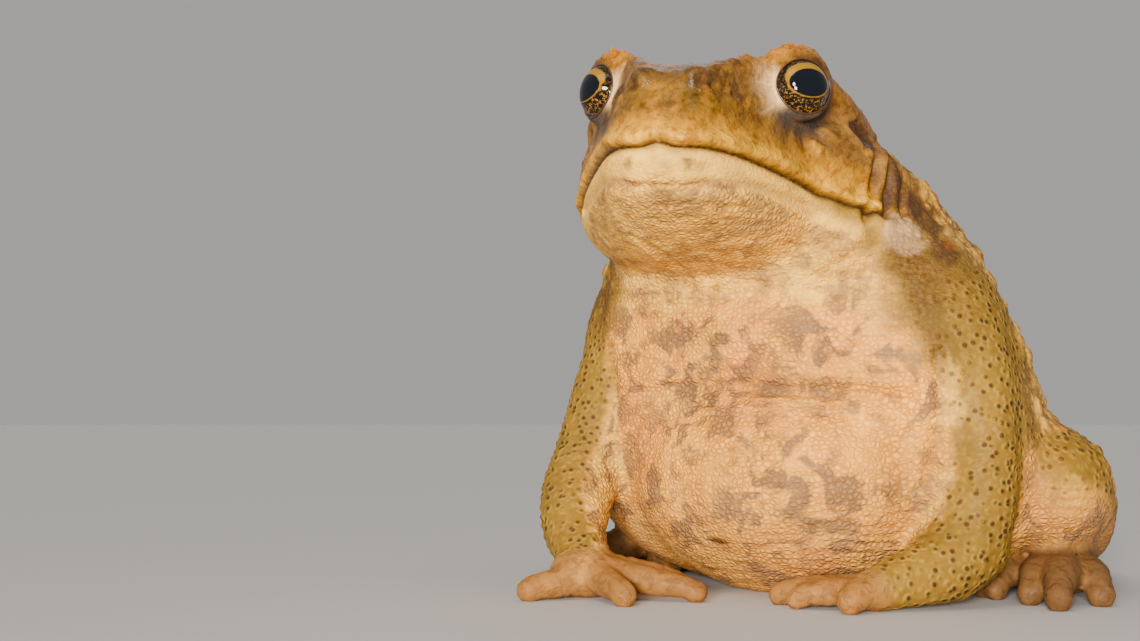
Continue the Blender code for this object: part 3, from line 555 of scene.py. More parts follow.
# The lines along each side seen from the side, as y and z: in front of the first the skin has no large warts,
# and in front of the second it has the belly's colours
FLANK_LINE = (
    (-40.0, 84.0), (-22.0, 80.0), (-12.0, 72.0), (-6.0, 63.0), (-3.0, 54.0), (3.0, 43.0), (11.0, 30.0),
    (24.0, 20.0), (39.0, 15.0), (54.0, 12.0), (80.0, 8.0),
)
BELLY_LINE = (
    (-40.0, 82.0), (-22.0, 78.0), (-13.4, 71.0), (-12.8, 62.0), (-13.0, 52.0), (-11.0, 43.0), (-4.0, 34.0),
    (8.0, 24.0), (24.0, 16.0), (39.0, 12.0), (80.0, 6.0),
)


def behind_line(points, line):
    """How far each point lies behind the line, in millimetres, seen from the side."""
    line = np.array(line)
    flat = points[:, 1:]
    nearest = np.full(len(points), np.inf)
    signed = np.zeros(len(points))
    for start, end in zip(line, line[1:]):
        along = end - start
        share = np.clip((flat - start) @ along / (along @ along), 0, 1)
        away = flat - start - share[:, None] * along
        distance = np.linalg.norm(away, axis=1)
        side = np.sign(along[0] * away[:, 1] - along[1] * away[:, 0])
        closer = distance < nearest
        nearest = np.where(closer, distance, nearest)
        signed = np.where(closer, side * distance, signed)
    return signed


# Where the head's skin ends: s at each z of the head's frame
NAPE = ((-30.0, -6.0, 2.0, 6.0, 9.0, 13.0, 20.0), (34.0, 36.8, 36.2, 37.4, 42.0, 47.0, 52.0))


def regions(points):
    """The share of each region of skin at each point, by name."""
    local = to_head(points)
    folded = np.column_stack([np.abs(local[:, 0]), local[:, 1:]])
    masks = {}
    for kind, rows in limb_paths().items():
        masks[kind], masks[kind + "_outward"] = limb_share(points, rows, 2.5)
    mouth_s, mouth_z = np.array(MOUTH)[:, 1], np.array(MOUTH)[:, 2]
    masks["folded"] = folded
    masks["above_mouth"] = folded[:, 2] - np.interp(folded[:, 1], mouth_s, mouth_z)
    masks["above_mouth"] -= LIP_PEAK * bell(local[:, 0], 2.2) * (folded[:, 1] < 8)
    nape = np.interp(folded[:, 2], *NAPE) + 3.0 * (local[:, 0] < 0)
    masks["head"] = 1 - smooth(-0.6, 1.0, folded[:, 1] - nape)
    masks["jaw"] = 1 - smooth(44, 54, folded[:, 1] + 0.25 * folded[:, 2])
    masks["behind"] = behind_line(points, FLANK_LINE)
    masks["back"] = smooth(-4, 3, masks["behind"])
    masks["dark"] = smooth(-1.2, 1.8, behind_line(points, BELLY_LINE) + 1.5 * cloud(points, 5.0, 61))
    return masks


def eye_frame(side):
    """The eyeball's centre and the way it looks, in the toad's frame."""
    x, s, z = EYE_PLACE
    centre = from_head(np.array([(side * x + BROW_SHIFT, s, z)]))[0]
    turn, flat = EYE_TURN[side], math.cos(EYE_RAISE)
    look = np.array((side * math.sin(turn) * flat, -math.cos(turn) * flat, math.sin(EYE_RAISE)))
    return centre, HEAD[:3, :3] @ look


def eye_basis(side):
    """The eye's centre and its axes: across towards the snout, up, and out along the look."""
    centre, look = eye_frame(side)
    up = unit(np.array((0.0, 0.0, 1.0)) - look * look[2])
    across = side * np.cross(up, look) * -1
    return centre, np.array([across, up, look])


def lid_opening(turn):
    """The opening's half angle by the turn round the look, nought at the snout side and a quarter turn up: a
    circle flattened at the top and drawn out a little at its front and back corners."""
    high, low = np.sin(turn).clip(0), np.sin(-turn).clip(0)
    return np.radians(57.0 - 4.0 * high**2 - 2.0 * low**2 + 2.5 * np.cos(turn) ** 6)


def lids(points, radius):
    """Points near each eye moved along the rays from its centre: a rim at the opening's edge that falls to the
    face outside it, and a dent inside it in which the eyeball sits."""
    moved = points.copy()
    for side in EYE_SIDES.values():
        centre, basis = eye_basis(side)
        close = np.linalg.norm(points - centre, axis=1) < radius + 6.5
        local = (points[close] - centre) @ basis.T
        far = np.linalg.norm(local, axis=1)
        angle = np.arccos(np.clip(local[:, 2] / far, -1, 1))
        turn = np.arctan2(local[:, 1], local[:, 0])
        edge = radius * (angle - lid_opening(turn))
        upper = smooth(-0.2, 0.9, np.sin(turn))
        rim = radius + 0.15 + (0.35 + 0.9 * upper) * smooth(0, 1.2, edge)
        keep = smooth(0.6 + 0.5 * upper, 3.8, edge)
        furrow = -0.45 * bell(edge - 3.0, 0.6) * (1 - 0.3 * upper)
        furrow -= 0.25 * bell(edge - 4.6, 0.6) * (1 - upper)
        outside = rim * (1 - keep) + (far + furrow) * keep
        inside = radius + 0.15 - 2.4 * smooth(0, 1.1, -edge)
        target = np.where(edge > 0, outside, inside)
        fade = smooth(math.radians(125), math.radians(100), angle)
        far_new = far + (target - far) * fade
        moved[close] = centre + (local * (far_new / far)[:, None]) @ basis
    return moved


def face_relief(masks):
    """How far the face moves outwards: lips, mouth line, lip fold, nostrils, loreal pits, cheeks and eardrums."""
    folded, above = masks["folded"], masks["above_mouth"]
    reach = 1 - smooth(37.0, 40.0, folded[:, 1])
    front = (folded[:, 1] < 56) & (folded[:, 2] > -30)
    lips = 1.10 * bell(above - 1.8, 1.5) - 0.95 * bell(above + 0.15, 0.55) + 0.35 * bell(above + 2.2, 1.3)
    relief = lips * reach
    face = folded[front]
    fold, _ = distance_to(face, through(LIP_FOLD, 3))
    change = -1.15 * bell(fold, 0.9)
    chin, _ = distance_to(face, through(np.array(LIP_FOLD) + (0, 0.2, -2.2), 3))
    change += 0.35 * bell(chin, 1.6)
    nostril = np.linalg.norm(face - NOSTRIL, axis=1)
    change += 0.7 * bell(nostril - 1.5, 0.9) - 1.2 * bell(nostril, 0.75)
    ear = np.linalg.norm((face - TYMPANUM) * (0.4, 1, 0.78), axis=1)
    change += 0.55 * bell(ear - TYMPANUM_RADIUS, 0.6) - 0.8 * bell(ear, 2.3) + 0.3 * bell(ear, 0.9)
    loreal = np.linalg.norm((face - (14.5, 14.0, 9.0)) * (1, 0.7, 0.9), axis=1)
    change -= 0.8 * bell(loreal, 3.6)
    crease, along = distance_to(face, through(LOREAL_LINE, 4))
    change -= 0.55 * bell(crease, 0.8) * (1 + 0.6 * np.sin(2.4 * along)) - 0.25 * bell(crease - 1.5, 0.7)
    for ridge in CHEEK_RIDGES:
        cheek, along = distance_to(face, through(ridge, 4))
        knobs = 0.75 + 0.35 * np.sin(3.1 * along)
        change += 0.80 * bell(cheek, 1.0) * knobs - 0.35 * bell(cheek - 1.8, 0.6)
    lid_fold, _ = distance_to(face, through(((15.0, 21.0, 8.4), (19.0, 25.0, 7.4), (23.0, 30.0, 7.2)), 4))
    change -= 0.5 * bell(lid_fold, 0.8)
    back_of_snout = smooth(18, 6, face[:, 1]) * smooth(3, 7, face[:, 2])
    pits, draw = scattered(face, 2.6, 41)
    change -= back_of_snout * 0.30 * np.clip(1 - (pits / 1.1) ** 2, 0, 1) * (draw > 0.4)
    relief[front] += change
    return relief


# Folds of the skin in the toad's frame: the points of the line, its depth and its width; the depth also sets how
# dark the painted shade in the fold is
FOLDS = (
    (((-18, -42, 68), (-12, -34, 66.5), (-12.6, -18, 61), (-12, -15, 56)), 0.9, 1.2),
    (((22, -12.6, 73), (23, -12.4, 68.5), (17.6, -14.6, 64), (10, -15, 60)), 1.0, 1.2),
    (((-25, -15.3, 39.5), (-11, -17, 41.3), (4, -17.3, 40.7), (19.6, -15.6, 39), (30, -12.6, 38)), 0.9, 1.7),
    (((-17, -16.5, 44.5), (-4, -18, 44.5), (10, -17.5, 44.2)), 0.45, 1.1),
    (((-12, -17.5, 37.5), (2, -18, 37.0), (16, -17, 35.5), (27, -14, 34)), 0.45, 1.1),
    (((34.5, -10, 47), (35.2, -9.6, 40), (34.0, -10, 31), (32.4, -10, 23)), 0.7, 1.2),
    (((-33, -12, 50), (-33, -13, 42), (-31.6, -15, 32)), 0.7, 1.2),
    (((23.8, -10, 86), (23.4, -11.5, 79), (22.4, -12.4, 73)), 1.2, 0.8),
    (((25.4, -6.5, 87), (25.2, -8, 80), (24.6, -9, 73.5)), 1.2, 0.8),
    (((27.2, -3, 84), (27.2, -5, 78), (27.0, -6, 73)), 1.0, 0.8),
)


def fold_relief(points):
    """How far folds draw the skin in, and how far their sides swell out."""
    relief = np.zeros(len(points))
    for line, depth, width in FOLDS:
        distance, _ = distance_to(points, through(line, 5))
        relief += depth * (0.45 * bell(distance - 2.0 * width, width) - bell(distance, width))
    return relief


# Warts by kind: cell, seed, least radius and what the draw adds to it, share of the full height, least draw
WARTS = ((6.0, 3, 1.9, 1.1, 1.0, 0.5), (3.4, 5, 1.25, 0.6, 0.62, 0.0), (2.2, 9, 0.8, 0.4, 0.34, 0.0))


def warts(points, masks, height):
    """How far warts and granules stand out: the highest of the domes over three scatters of centres, large and
    small. Also returns how near each point is to the top of a wart, 0 to 1, and that wart's draw."""
    head, arm, digits = masks["head"], masks["arm"], np.maximum(masks["hand"], masks["foot"])
    body = masks["back"] * (1 - head) * (1 - arm) * (1 - digits)
    front = masks["dark"] * (1 - head) * (1 - 0.8 * arm) * (1 - digits) * (1 - 0.7 * masks["leg"])
    neck = masks["jaw"] * smooth(52, 44, masks["folded"][:, 1])
    body = body * (1 - 0.8 * neck)
    relief = np.zeros(len(points))
    tops = np.zeros(len(points))
    own = np.zeros(len(points))
    for cell, seed, least, more, rise, least_draw in WARTS:
        distance, draw = scattered(points, cell, seed)
        dome = np.clip(1 - (distance / (least + more * draw)) ** 2, 0, 1) * (draw >= least_draw)
        share = np.maximum(body, 0.45 * front * (least < 1.5) * (1 - neck)) * dome
        relief = np.maximum(relief, share**0.9 * rise * height * (0.6 + 0.6 * draw))
        own = np.where(share > tops, draw, own)
        tops = np.maximum(tops, share)
    granule, draw = scattered(points, 1.9, 14)
    small = np.clip(1 - (granule / 1.0) ** 2, 0, 1)
    crown = head * smooth(12, 19, masks["folded"][:, 2])
    relief += small * (0.20 * arm * (1 - digits) + 0.16 * masks["leg"] + 0.18 * crown)
    brow, _ = distance_to(masks["folded"], through(np.array(BROW)[:, :3] + (0, 0, 2.2), 4))
    crest, _ = distance_to(masks["folded"], through(np.array(TEMPLE)[:, :3] + (0, 0, 3.2), 4))
    edge = masks["jaw"] * np.maximum(bell(brow, 2.4), bell(crest, 2.6))
    beads, draw = scattered(points, 1.5, 21)
    relief += edge * 0.7 * np.clip(1 - (beads / 0.85) ** 2, 0, 1) * (0.3 + 0.9 * draw)
    return relief, tops, own


def wrinkles(points, masks):
    """How far the skin ripples: level creases round throat and belly, bent by noise and broken up along them."""
    digits = np.maximum(masks["hand"], masks["foot"])
    soft = (1 - masks["dark"]) * (1 - digits)
    throat = soft * smooth(-4.0, -8.0, masks["above_mouth"]) * smooth(60, 50, masks["folded"][:, 1])
    bent = points[:, 2] + 1.6 * cloud(points, 9.0, 31) + 0.7 * cloud(points, 3.5, 32)
    ripple = np.cos(2 * math.pi * bent / 1.9) * (0.5 + 0.5 * cloud(points, 4.0, 33))
    lumps = cloud(points, 7.0, 34) + 0.5 * cloud(points, 3.2, 35)
    knuckles = np.cos(2 * math.pi * (points @ (0.55, 0.55, 0.6)) / 1.5) * np.clip(cloud(points, 3.0, 36), 0, 1)
    face = masks["head"] * (masks["above_mouth"] > 0)
    relief = (0.17 * throat + 0.02 * soft) * ripple + 0.13 * lumps * (1 - 0.6 * masks["head"])
    return relief + 0.16 * digits * knuckles + 0.10 * face * cloud(points, 1.8, 37)


def write_attribute(mesh, name, values):
    """Stores one number a point under the name."""
    layer = mesh.attributes.new(name, "FLOAT", "POINT")
    layer.data.foreach_set("value", np.asarray(values, np.float32))


class Coats:
    """The colour of each point, built up as coats laid one over another."""

    def __init__(self, colour, count):
        self.colours = np.tile(np.array(colour), (count, 1))

    def lay(self, colour, share):
        """Covers what is there by each point's share, from 0 to 1."""
        share = np.clip(share, 0, 1)[:, None]
        self.colours = self.colours * (1 - share) + np.asarray(colour) * share


# Marks in the toad's frame: place, radius along each axis, colour by name, strength and how ragged the edge is
MARKS = (
    ((27.8, -8.2, 69.8), (4.6, 4.6, 4.3), "rose", 1.0, 0.6),
    ((26.8, -6.0, 78.6), (3.4, 3.4, 5.4), "umber", 0.75, 1.2),
    ((30.6, -1.6, 73.6), (3.2, 3.2, 4.8), "umber", 0.75, 1.2),
    ((34.4, -3.6, 66.4), (3.6, 3.6, 2.4), "brown", 0.85, 0.8),
    ((35.0, -0.9, 68.2), (1.5, 1.5, 1.7), "orange", 0.9, 0.1),
    ((4.0, -17.3, 41.4), (10.0, 9.0, 3.6), "brown", 0.28, 1.3),
    ((5.0, -17.3, 40.6), (3.6, 4.0, 1.6), "marbling", 0.75, 1.2),
    ((-6.1, -19.6, 11.2), (2.0, 3.0, 0.75), "umber", 0.9, 0.1),
    ((55.1, 7.5, 21.3), (2.7, 2.7, 2.7), "pale", 0.22, 0.6),
    ((12.0, -21.0, 63.0), (9.0, 9.0, 5.0), "pale", 0.8, 0.5),
    ((-18.0, -16.0, 60.0), (5.0, 8.0, 5.0), "pale", 0.6, 0.6),
    ((36.0, -9.5, 39.0), (3.2, 4.0, 7.0), "pale", 0.35, 0.8),
)
# Marks in the head's frame, on both sides
HEAD_MARKS = (
    ((7.0, 4.4, 13.4), (2.0, 2.6, 1.8), "umber", 0.75, 0.6),
    ((10.6, 9.4, 12.6), (2.6, 3.8, 1.7), "umber", 0.65, 0.8),
    ((14.4, 15.0, 9.4), (2.6, 4.2, 1.4), "umber", 0.40, 0.8),
    ((29.6, 37.6, 9.8), (4.4, 3.2, 4.4), "umber", 0.92, 0.4),
    ((3.4, 1.4, 15.6), (4.5, 3.0, 1.6), "umber", 0.45, 0.8),
    ((12.0, 13.4, 21.0), (4.0, 5.0, 2.6), "umber", 0.35, 0.9),
    ((5.4, 2.0, -1.8), (0.9, 2.0, 0.9), "umber", 0.7, 0.3),
    ((18.4, 23.0, 8.6), (4.4, 4.6, 1.2), "umber", 0.35, 0.6),
)

# Axes of the streaks down the shoulder: along, then two across
STREAK_AXES = unit(np.array(((0.35, 0.55, -0.76), (0.80, -0.60, -0.06), (0.48, 0.59, 0.65)))).T


def blot(points, place, radii, ragged, seed):
    """One inside an ellipsoid and nought outside, its edge moved in and out by noise."""
    inside = np.linalg.norm((points - place) / radii, axis=1)
    return 1 - smooth(0.88, 1.08, inside + ragged * 0.5 * cloud(points * (1, 1, 0.6), 1.8, seed))


def paint_body(coats, tones, points, masks):
    """Colours belly, throat, flanks and back. Returns the shares of throat, lower lip and shoulder."""
    folded, above, dark, behind = masks["folded"], masks["above_mouth"], masks["dark"], masks["behind"]
    level = points[:, 2]
    coats.lay(tones.peach, 0.6 * smooth(-0.25, 0.5, cloud(points, 13.0, 71)))
    coats.lay(tones.pale, 0.35 * smooth(0.1, 0.6, cloud(points, 10.0, 72)))
    coats.lay(tones.marbling, 0.42 * smooth(32, 4, level))
    throat = masks["jaw"] * smooth(0.5, -0.5, above) * smooth(-27, -20, folded[:, 2])
    lip = throat * smooth(-6.0, -4.6, above)
    coats.lay(tones.pale, 0.7 * throat + 0.2 * lip)
    wavy = cloud(points * (1, 1, 2.2), 3.4, 77) + 0.6 * cloud(points * (1, 1, 2.2), 1.7, 78)
    coats.lay(tones.brown, 0.42 * throat * (1 - 0.5 * lip) * smooth(0.15, 0.75, wavy))
    # Painted shade: grey-brown along the lip fold, the shadow in its groove
    fold, _ = distance_to(folded, through(LIP_FOLD, 3))
    coats.lay(tones.marbling, 0.5 * throat * bell(fold, 0.8))
    stains = smooth(0.05, 0.55, cloud(points * (1, 1, 1.6), 2.8, 79))
    coats.lay(tones.marbling, 0.40 * throat * (1 - 0.35 * lip) * stains)
    coats.lay(tones.flank, dark)
    coats.lay(tones.olive, dark * smooth(16, 4, behind) * smooth(34, 48, level))
    coats.lay(tones.back, 0.85 * smooth(6, 26, behind))
    streak = cloud(points @ STREAK_AXES / (9.0, 1.5, 1.5), 1.0, 76)
    shoulder = dark * (1 - masks["back"]) * (1 - masks["head"]) * (1 - masks["arm"])
    coats.lay(tones.olive, 0.8 * shoulder)
    coats.lay(tones.brown, (0.3 * shoulder + 0.3 * masks["back"]) * smooth(0.15, 0.55, streak))
    low_flank = dark * smooth(36, 24, level) * smooth(22, 6, behind)
    coats.lay(tones.pale, 0.45 * low_flank)
    return throat, lip, shoulder


def paint_limbs(coats, tones, points, masks):
    """Colours arms, legs, hands and feet. Returns the shares of the arm's outer side, the knee and the haunch."""
    arm, leg = masks["arm"], masks["leg"]
    outwards = masks["arm_outward"] + 0.12 * cloud(points, 4.0, 73) + 0.16 * (points[:, 0] < 0)
    outer = smooth(-0.62, -0.30, outwards)
    coats.lay(tones.pale, arm * (1 - outer) * (1 - masks["dark"]))
    coats.lay(tones.marbling, 0.25 * arm * (1 - outer) * (points[:, 0] > 0))
    coats.lay(tones.olive, arm * outer)
    knee = leg * smooth(14, 27, points[:, 2] + 3.0 * cloud(points, 6.0, 74))
    coats.lay(tones.marbling, leg * (1 - knee) * 0.25)
    haunch = knee * smooth(20, 34, points[:, 1])
    knee = knee - haunch
    coats.lay(tones.olive, knee)
    coats.lay(tones.back, 0.8 * haunch)
    coats.lay(tones.tan, 0.92 * masks["hand"])
    coats.lay(tones.brown, 0.95 * masks["foot"])
    return arm * outer, knee, haunch


def paint_head(coats, tones, points, masks):
    """Colours nape, upper lip, snout, cheeks and brows. Returns the share of the head above the mouth."""
    head, folded, above = masks["head"], masks["folded"], masks["above_mouth"]
    upper = head * smooth(-0.3, 0.4, above)
    nape = masks["jaw"] * (1 - head) * smooth(0, 2, above)
    upright = cloud(points * (1, 1, 0.30), 1.9, 75)
    coats.lay(tones.ochre, 0.7 * nape)
    coats.lay(tones.umber, 0.80 * nape * smooth(0.0, 0.25, upright))
    coats.lay(tones.ochre, upper)
    # Gold band along the upper lip, strongest at its edge: golden skin, partly a painted wet highlight
    coats.lay(tones.gold, 0.85 * upper * smooth(5.0, 2.2, above + 0.8 * cloud(points, 3.0, 55)))
    snout = upper * smooth(3.6, 7.5, above) * smooth(30, 20, folded[:, 1])
    coats.lay(tones.snout, (0.62 + 0.38 * smooth(-0.3, 0.4, cloud(points, 4.2, 51))) * snout)
    coats.lay(tones.brown, 0.6 * snout * smooth(0.15, 0.5, cloud(points, 1.9, 54)))
    coats.lay(tones.brown, 0.45 * snout * smooth(10, 15, folded[:, 2]))
    behind_eye = smooth(4.0, 7.0, folded[:, 2] + 0.25 * (folded[:, 1] - 26))
    coats.lay(tones.brown, 0.8 * (upper * smooth(22, 27, folded[:, 1]) * behind_eye))
    for knots in CHEEK_RIDGES:
        near, _ = distance_to(folded, through(knots, 4))
        coats.lay(tones.gold, 0.75 * upper * bell(near, 1.0))
    coats.lay(tones.snout, 0.4 * upper * smooth(0.1, 0.6, cloud(points, 2.6, 53)))
    brow, _ = distance_to(folded, through(np.array(BROW)[:, :3] + (0, 0, 2.0), 4))
    crest, _ = distance_to(folded, through(np.array(TEMPLE)[:, :3] + (0, 0, 2.0), 4))
    ridge = upper * np.maximum(bell(brow, 4.0), bell(crest, 3.6))
    coats.lay(tones.ochre, ridge)
    coats.lay(tones.orange, ridge * (0.25 + 0.6 * smooth(0.0, 0.5, cloud(points, 3.4, 52))))
    return upper


def paint_marks(coats, tones, points, folded):
    """Colours the marks of both tables, those of the head first."""
    for where, marks, seed in ((folded, HEAD_MARKS, 80), (points, MARKS, 100)):
        for index, (place, radii, name, strength, ragged) in enumerate(marks):
            shape = blot(where, place, radii, ragged, seed + index)
            coats.lay(getattr(tones, name), strength * shape)


def paint_round_eyes(coats, tones, points):
    """Colours the dark lower lids, the pale skin before the eyes and the shade above them. Returns the share of
    the first two, whose skin is plainer."""
    bare = np.zeros(len(points))
    for side in EYE_SIDES.values():
        centre, basis = eye_basis(side)
        local = (points - centre) @ basis.T
        far = np.linalg.norm(local, axis=1)
        ahead, height = local[:, 0] / far, local[:, 1] / far
        lower = bell(np.maximum(far - 7.2, 0), 2.6) * smooth(0.0, -0.4, height)
        coats.lay(tones.mauve, 0.95 * lower)
        before = smooth(0.25, 0.65, ahead) * bell(np.maximum(far - 8.4, 0), 2.8)
        before *= smooth(0.55, 0.2, height) * smooth(-0.75, -0.4, height)
        coats.lay(tones.rose, 0.95 * before)
        bare = np.maximum(bare, np.maximum(lower, before))
        shade = bell(np.maximum(far - 6.9, 0), 1.1) * smooth(0.2, 0.7, height) * smooth(0.75, -0.1, ahead)
        coats.lay(tones.umber, 0.85 * shade)
    return bare


def paint(mesh, tones):
    """Writes the skin's attributes: ground colour, and how strongly each pattern shows at each point."""
    points = coordinates(mesh)
    masks = regions(points)
    folded, above, head, dark = masks["folded"], masks["above_mouth"], masks["head"], masks["dark"]
    _, tops, own = warts(points, masks, 1.0)
    coats = Coats(tones.cream, len(points))
    throat, lip, shoulder = paint_body(coats, tones, points, masks)
    outer_arm, knee, haunch = paint_limbs(coats, tones, points, masks)
    upper = paint_head(coats, tones, points, masks)
    paint_marks(coats, tones, points, folded)
    bare = paint_round_eyes(coats, tones, points)
    # Painted shade: brown along each fold's line, darker for deeper folds, the shadow in the creases
    for line, depth, width in FOLDS:
        crease, _ = distance_to(points, through(line, 5))
        uneven = 0.6 + 0.6 * cloud(points, 2.4, 56)
        coats.lay(tones.brown, 0.5 * depth * bell(crease, 0.7 * width) * uneven)
    ground = mesh.attributes.new("ground", "FLOAT_COLOR", "POINT")
    opaque = np.column_stack([coats.colours, np.ones(len(points))])
    ground.data.foreach_set("color", opaque.astype(np.float32).ravel())
    digits = np.maximum(masks["hand"], masks["foot"])
    pale_skin = (1 - dark) * (1 - upper) * (1 - np.maximum(outer_arm, digits)) * (1 - knee - haunch)
    warty = np.maximum(masks["back"], dark) * (1 - head) * (1 - outer_arm) * (1 - digits) * (1 - knee)
    patterns = {
        "belly": pale_skin * (1 - 0.92 * lip) * (1 - 0.35 * throat),
        "folded_skin": throat * (1 - lip),
        "spots": np.clip(outer_arm + 0.75 * knee + 0.6 * shoulder, 0, 1) * (1 - digits),
        "streaks": shoulder,
        "tops": tops,
        "own": own,
        "rough": warty,
        # The mouth share places the painted shadow: a near-black line along the mouth, under the overhanging
        # upper lip
        "mouth": bell(above, 0.55) * (1 - smooth(37, 40, folded[:, 1])) * (folded[:, 1] < 50),
        "face": upper * (1 - 0.75 * bare),
        "digits": digits,
    }
    for name, values in patterns.items():
        write_attribute(mesh, name, values)


# Smoothing of the fused forms: passes, and how strong it is on the digits, on the face and elsewhere
RELAX_PASSES = 24
RELAX_DIGITS, RELAX_FACE, RELAX_BODY = 0.1, 0.25, 0.6
# How high the digits reach and how far back the face, in millimetres
DIGIT_HEIGHT = 9
FACE_DEPTH = 50
# In how many steps the thinning goes from plain regions to those that keep the most faces
DETAIL_STEPS = 3


def make_skin_mesh(sizes):
    """The skin: all forms fused, smoothed, divided once, given its relief and thinned."""
    forms = [head_form(), trunk_form(), ellipsoid(*BELLY), ellipsoid(*CHEST)]
    forms += side_forms(1) + side_forms(-1) + limb_forms()
    skin = joined("skin", forms)
    remesh = skin.modifiers.new("fuse", "REMESH")
    remesh.mode = "VOXEL"
    remesh.voxel_size = sizes.fuse_step
    applied(skin)
    points = coordinates(skin.data)
    face = to_head(points)[:, 1] < FACE_DEPTH
    strength = np.where(face, RELAX_FACE, RELAX_BODY)
    relax(skin.data, RELAX_PASSES, np.where(points[:, 2] < DIGIT_HEIGHT, RELAX_DIGITS, strength))
    finer = skin.modifiers.new("finer", "SUBSURF")
    finer.levels = finer.render_levels = 1
    applied(skin)
    mesh = skin.data
    points = coordinates(mesh)
    masks = regions(points)
    points = points + normals(mesh) * (face_relief(masks) + fold_relief(points))[:, None]
    points = lids(points, sizes.eye_radius / MM)
    set_coordinates(mesh, points)
    relax(mesh, 2, np.full(len(points), 0.3))
    points = coordinates(mesh)
    bumps, _, _ = warts(points, masks, sizes.wart_height / MM)
    clear = np.ones(len(points))
    for side in EYE_SIDES.values():
        centre, _ = eye_frame(side)
        clear *= smooth(6.8, 8.0, np.linalg.norm(points - centre, axis=1))
    points = points + normals(mesh) * ((bumps + wrinkles(points, masks)) * clear)[:, None]
    points[:, 2] = np.maximum(points[:, 2], 0.0)
    set_coordinates(mesh, points)
    weight = np.clip(0.3 + 0.35 * masks["back"] + masks["jaw"] + masks["hand"] + masks["foot"], 0, 1)
    group = skin.vertex_groups.new(name="detail")
    for level in range(DETAIL_STEPS + 1):
        chosen = np.nonzero(np.round(weight * DETAIL_STEPS) == level)[0]
        group.add(chosen.tolist(), level / DETAIL_STEPS, "REPLACE")
    thin = skin.modifiers.new("thin", "DECIMATE")
    thin.ratio = sizes.skin_triangles / (2 * len(mesh.polygons))
    applied(skin)
    skin.vertex_groups.clear()
    skin.data.shade_smooth()
    return skin


def node(tree, kind, inputs=None, **settings):
    """A shader node with its settings and its input values or wires, set out in rows of twelve."""
    row, column = divmod(len(tree.nodes), 12)
    made = tree.nodes.new(kind)
    made.location = (180 * column - 2400, -240 * row)
    for key, value in settings.items():
        setattr(made, key, value)
    for key, value in (inputs or {}).items():
        if isinstance(value, Wire):
            tree.links.new(value.socket, made.inputs[key])
        else:
            made.inputs[key].default_value = value
    return made


class Wire:
    """A value or colour of a shader tree. Each sum done on it adds the node that works it out."""

    def __init__(self, tree, socket):
        self.tree, self.socket = tree, socket

    def math(self, operation, a, b):
        """The value of a sum, product or the like of two values."""
        return Wire(self.tree, node(self.tree, "ShaderNodeMath", {0: a, 1: b}, operation=operation).outputs[0])

    def __add__(self, other):
        return self.math("ADD", self, other)

    def __sub__(self, other):
        return self.math("SUBTRACT", self, other)

    def __rsub__(self, other):
        return self.math("SUBTRACT", other, self)

    def __mul__(self, other):
        return self.math("MULTIPLY", self, other)

    def __truediv__(self, other):
        return self.math("DIVIDE", self, other)

    def __pow__(self, other):
        return self.math("POWER", self, other)

    def larger(self, other):
        """The larger of this value and another."""
        return self.math("MAXIMUM", self, other)

    def step(self, low, high):
        """This value spread smoothly from low to high over 0 to 1."""
        limits = {0: self, 1: low, 2: high}
        made = node(self.tree, "ShaderNodeMapRange", limits, interpolation_type="SMOOTHSTEP")
        return Wire(self.tree, made.outputs[0])

    def between(self, low, high):
        """The colour this share of the way from the colour low to the colour high."""
        ends = [end if isinstance(end, Wire) else (*end, 1.0) for end in (low, high)]
        made = node(self.tree, "ShaderNodeMix", {0: self, 6: ends[0], 7: ends[1]}, data_type="RGBA")
        return Wire(self.tree, made.outputs[2])

    def tinted(self, tint):
        """This colour multiplied by another."""
        tint = tint if isinstance(tint, Wire) else (*tint, 1.0)
        inputs = {0: 1.0, 6: self, 7: tint}
        made = node(self.tree, "ShaderNodeMix", inputs, data_type="RGBA", blend_type="MULTIPLY")
        return Wire(self.tree, made.outputs[2])

    def stretched(self, scale):
        """This place with its axes scaled."""
        made = node(self.tree, "ShaderNodeMapping", {"Vector": self, "Scale": scale})
        return Wire(self.tree, made.outputs[0])

    def bent(self, scale, reach):
        """This place moved about by slow noise, as far as reach along each axis."""
        wave = node(self.tree, "ShaderNodeTexNoise", {"Vector": self, "Scale": scale, "Detail": 1.0}).outputs[1]
        wave = {0: Wire(self.tree, wave), 1: reach}
        wave = node(self.tree, "ShaderNodeVectorMath", wave, operation="MULTIPLY").outputs[0]
        wave = {0: self, 1: Wire(self.tree, wave)}
        return Wire(self.tree, node(self.tree, "ShaderNodeVectorMath", wave, operation="ADD").outputs[0])

    def noise(self, scale, detail=3.0, rough=0.5, distortion=0.0):
        """Soft noise from 0 to 1 at this place, with so many waves to the metre."""
        made = node(self.tree, "ShaderNodeTexNoise", {
            "Vector": self, "Scale": scale, "Detail": detail, "Roughness": rough, "Distortion": distortion,
        })
        return Wire(self.tree, made.outputs[0])

    def cells(self, scale, feature="F1", output=0, randomness=0.8):
        """A scatter of cells, so many to the metre: the distance from a middle or an edge, or a cell's colour."""
        inputs = {"Vector": self, "Scale": scale, "Randomness": randomness}
        return Wire(self.tree, node(self.tree, "ShaderNodeTexVoronoi", inputs, feature=feature).outputs[output])


def new_material(name):
    """A material, its tree and its surface."""
    material = bpy.data.materials.new(name)
    material.use_nodes = True
    tree = material.node_tree
    return material, tree, tree.nodes["Principled BSDF"]


def attribute(tree, name, output="Fac"):
    """A named attribute of the mesh."""
    return Wire(tree, node(tree, "ShaderNodeAttribute", attribute_name=name).outputs[output])


def object_place(tree):
    """The place of a point in the object's own coordinates."""
    return Wire(tree, node(tree, "ShaderNodeTexCoord").outputs["Object"])


def set_values(surface, values):
    """Sets the surface's constant values by socket name."""
    for name, value in values.items():
        surface.inputs[name].default_value = value


# Skin patterns: how many waves or cells to the metre
GRANULES = 860.0
TUBERCLES = 620.0
BLOTCHES = 185.0


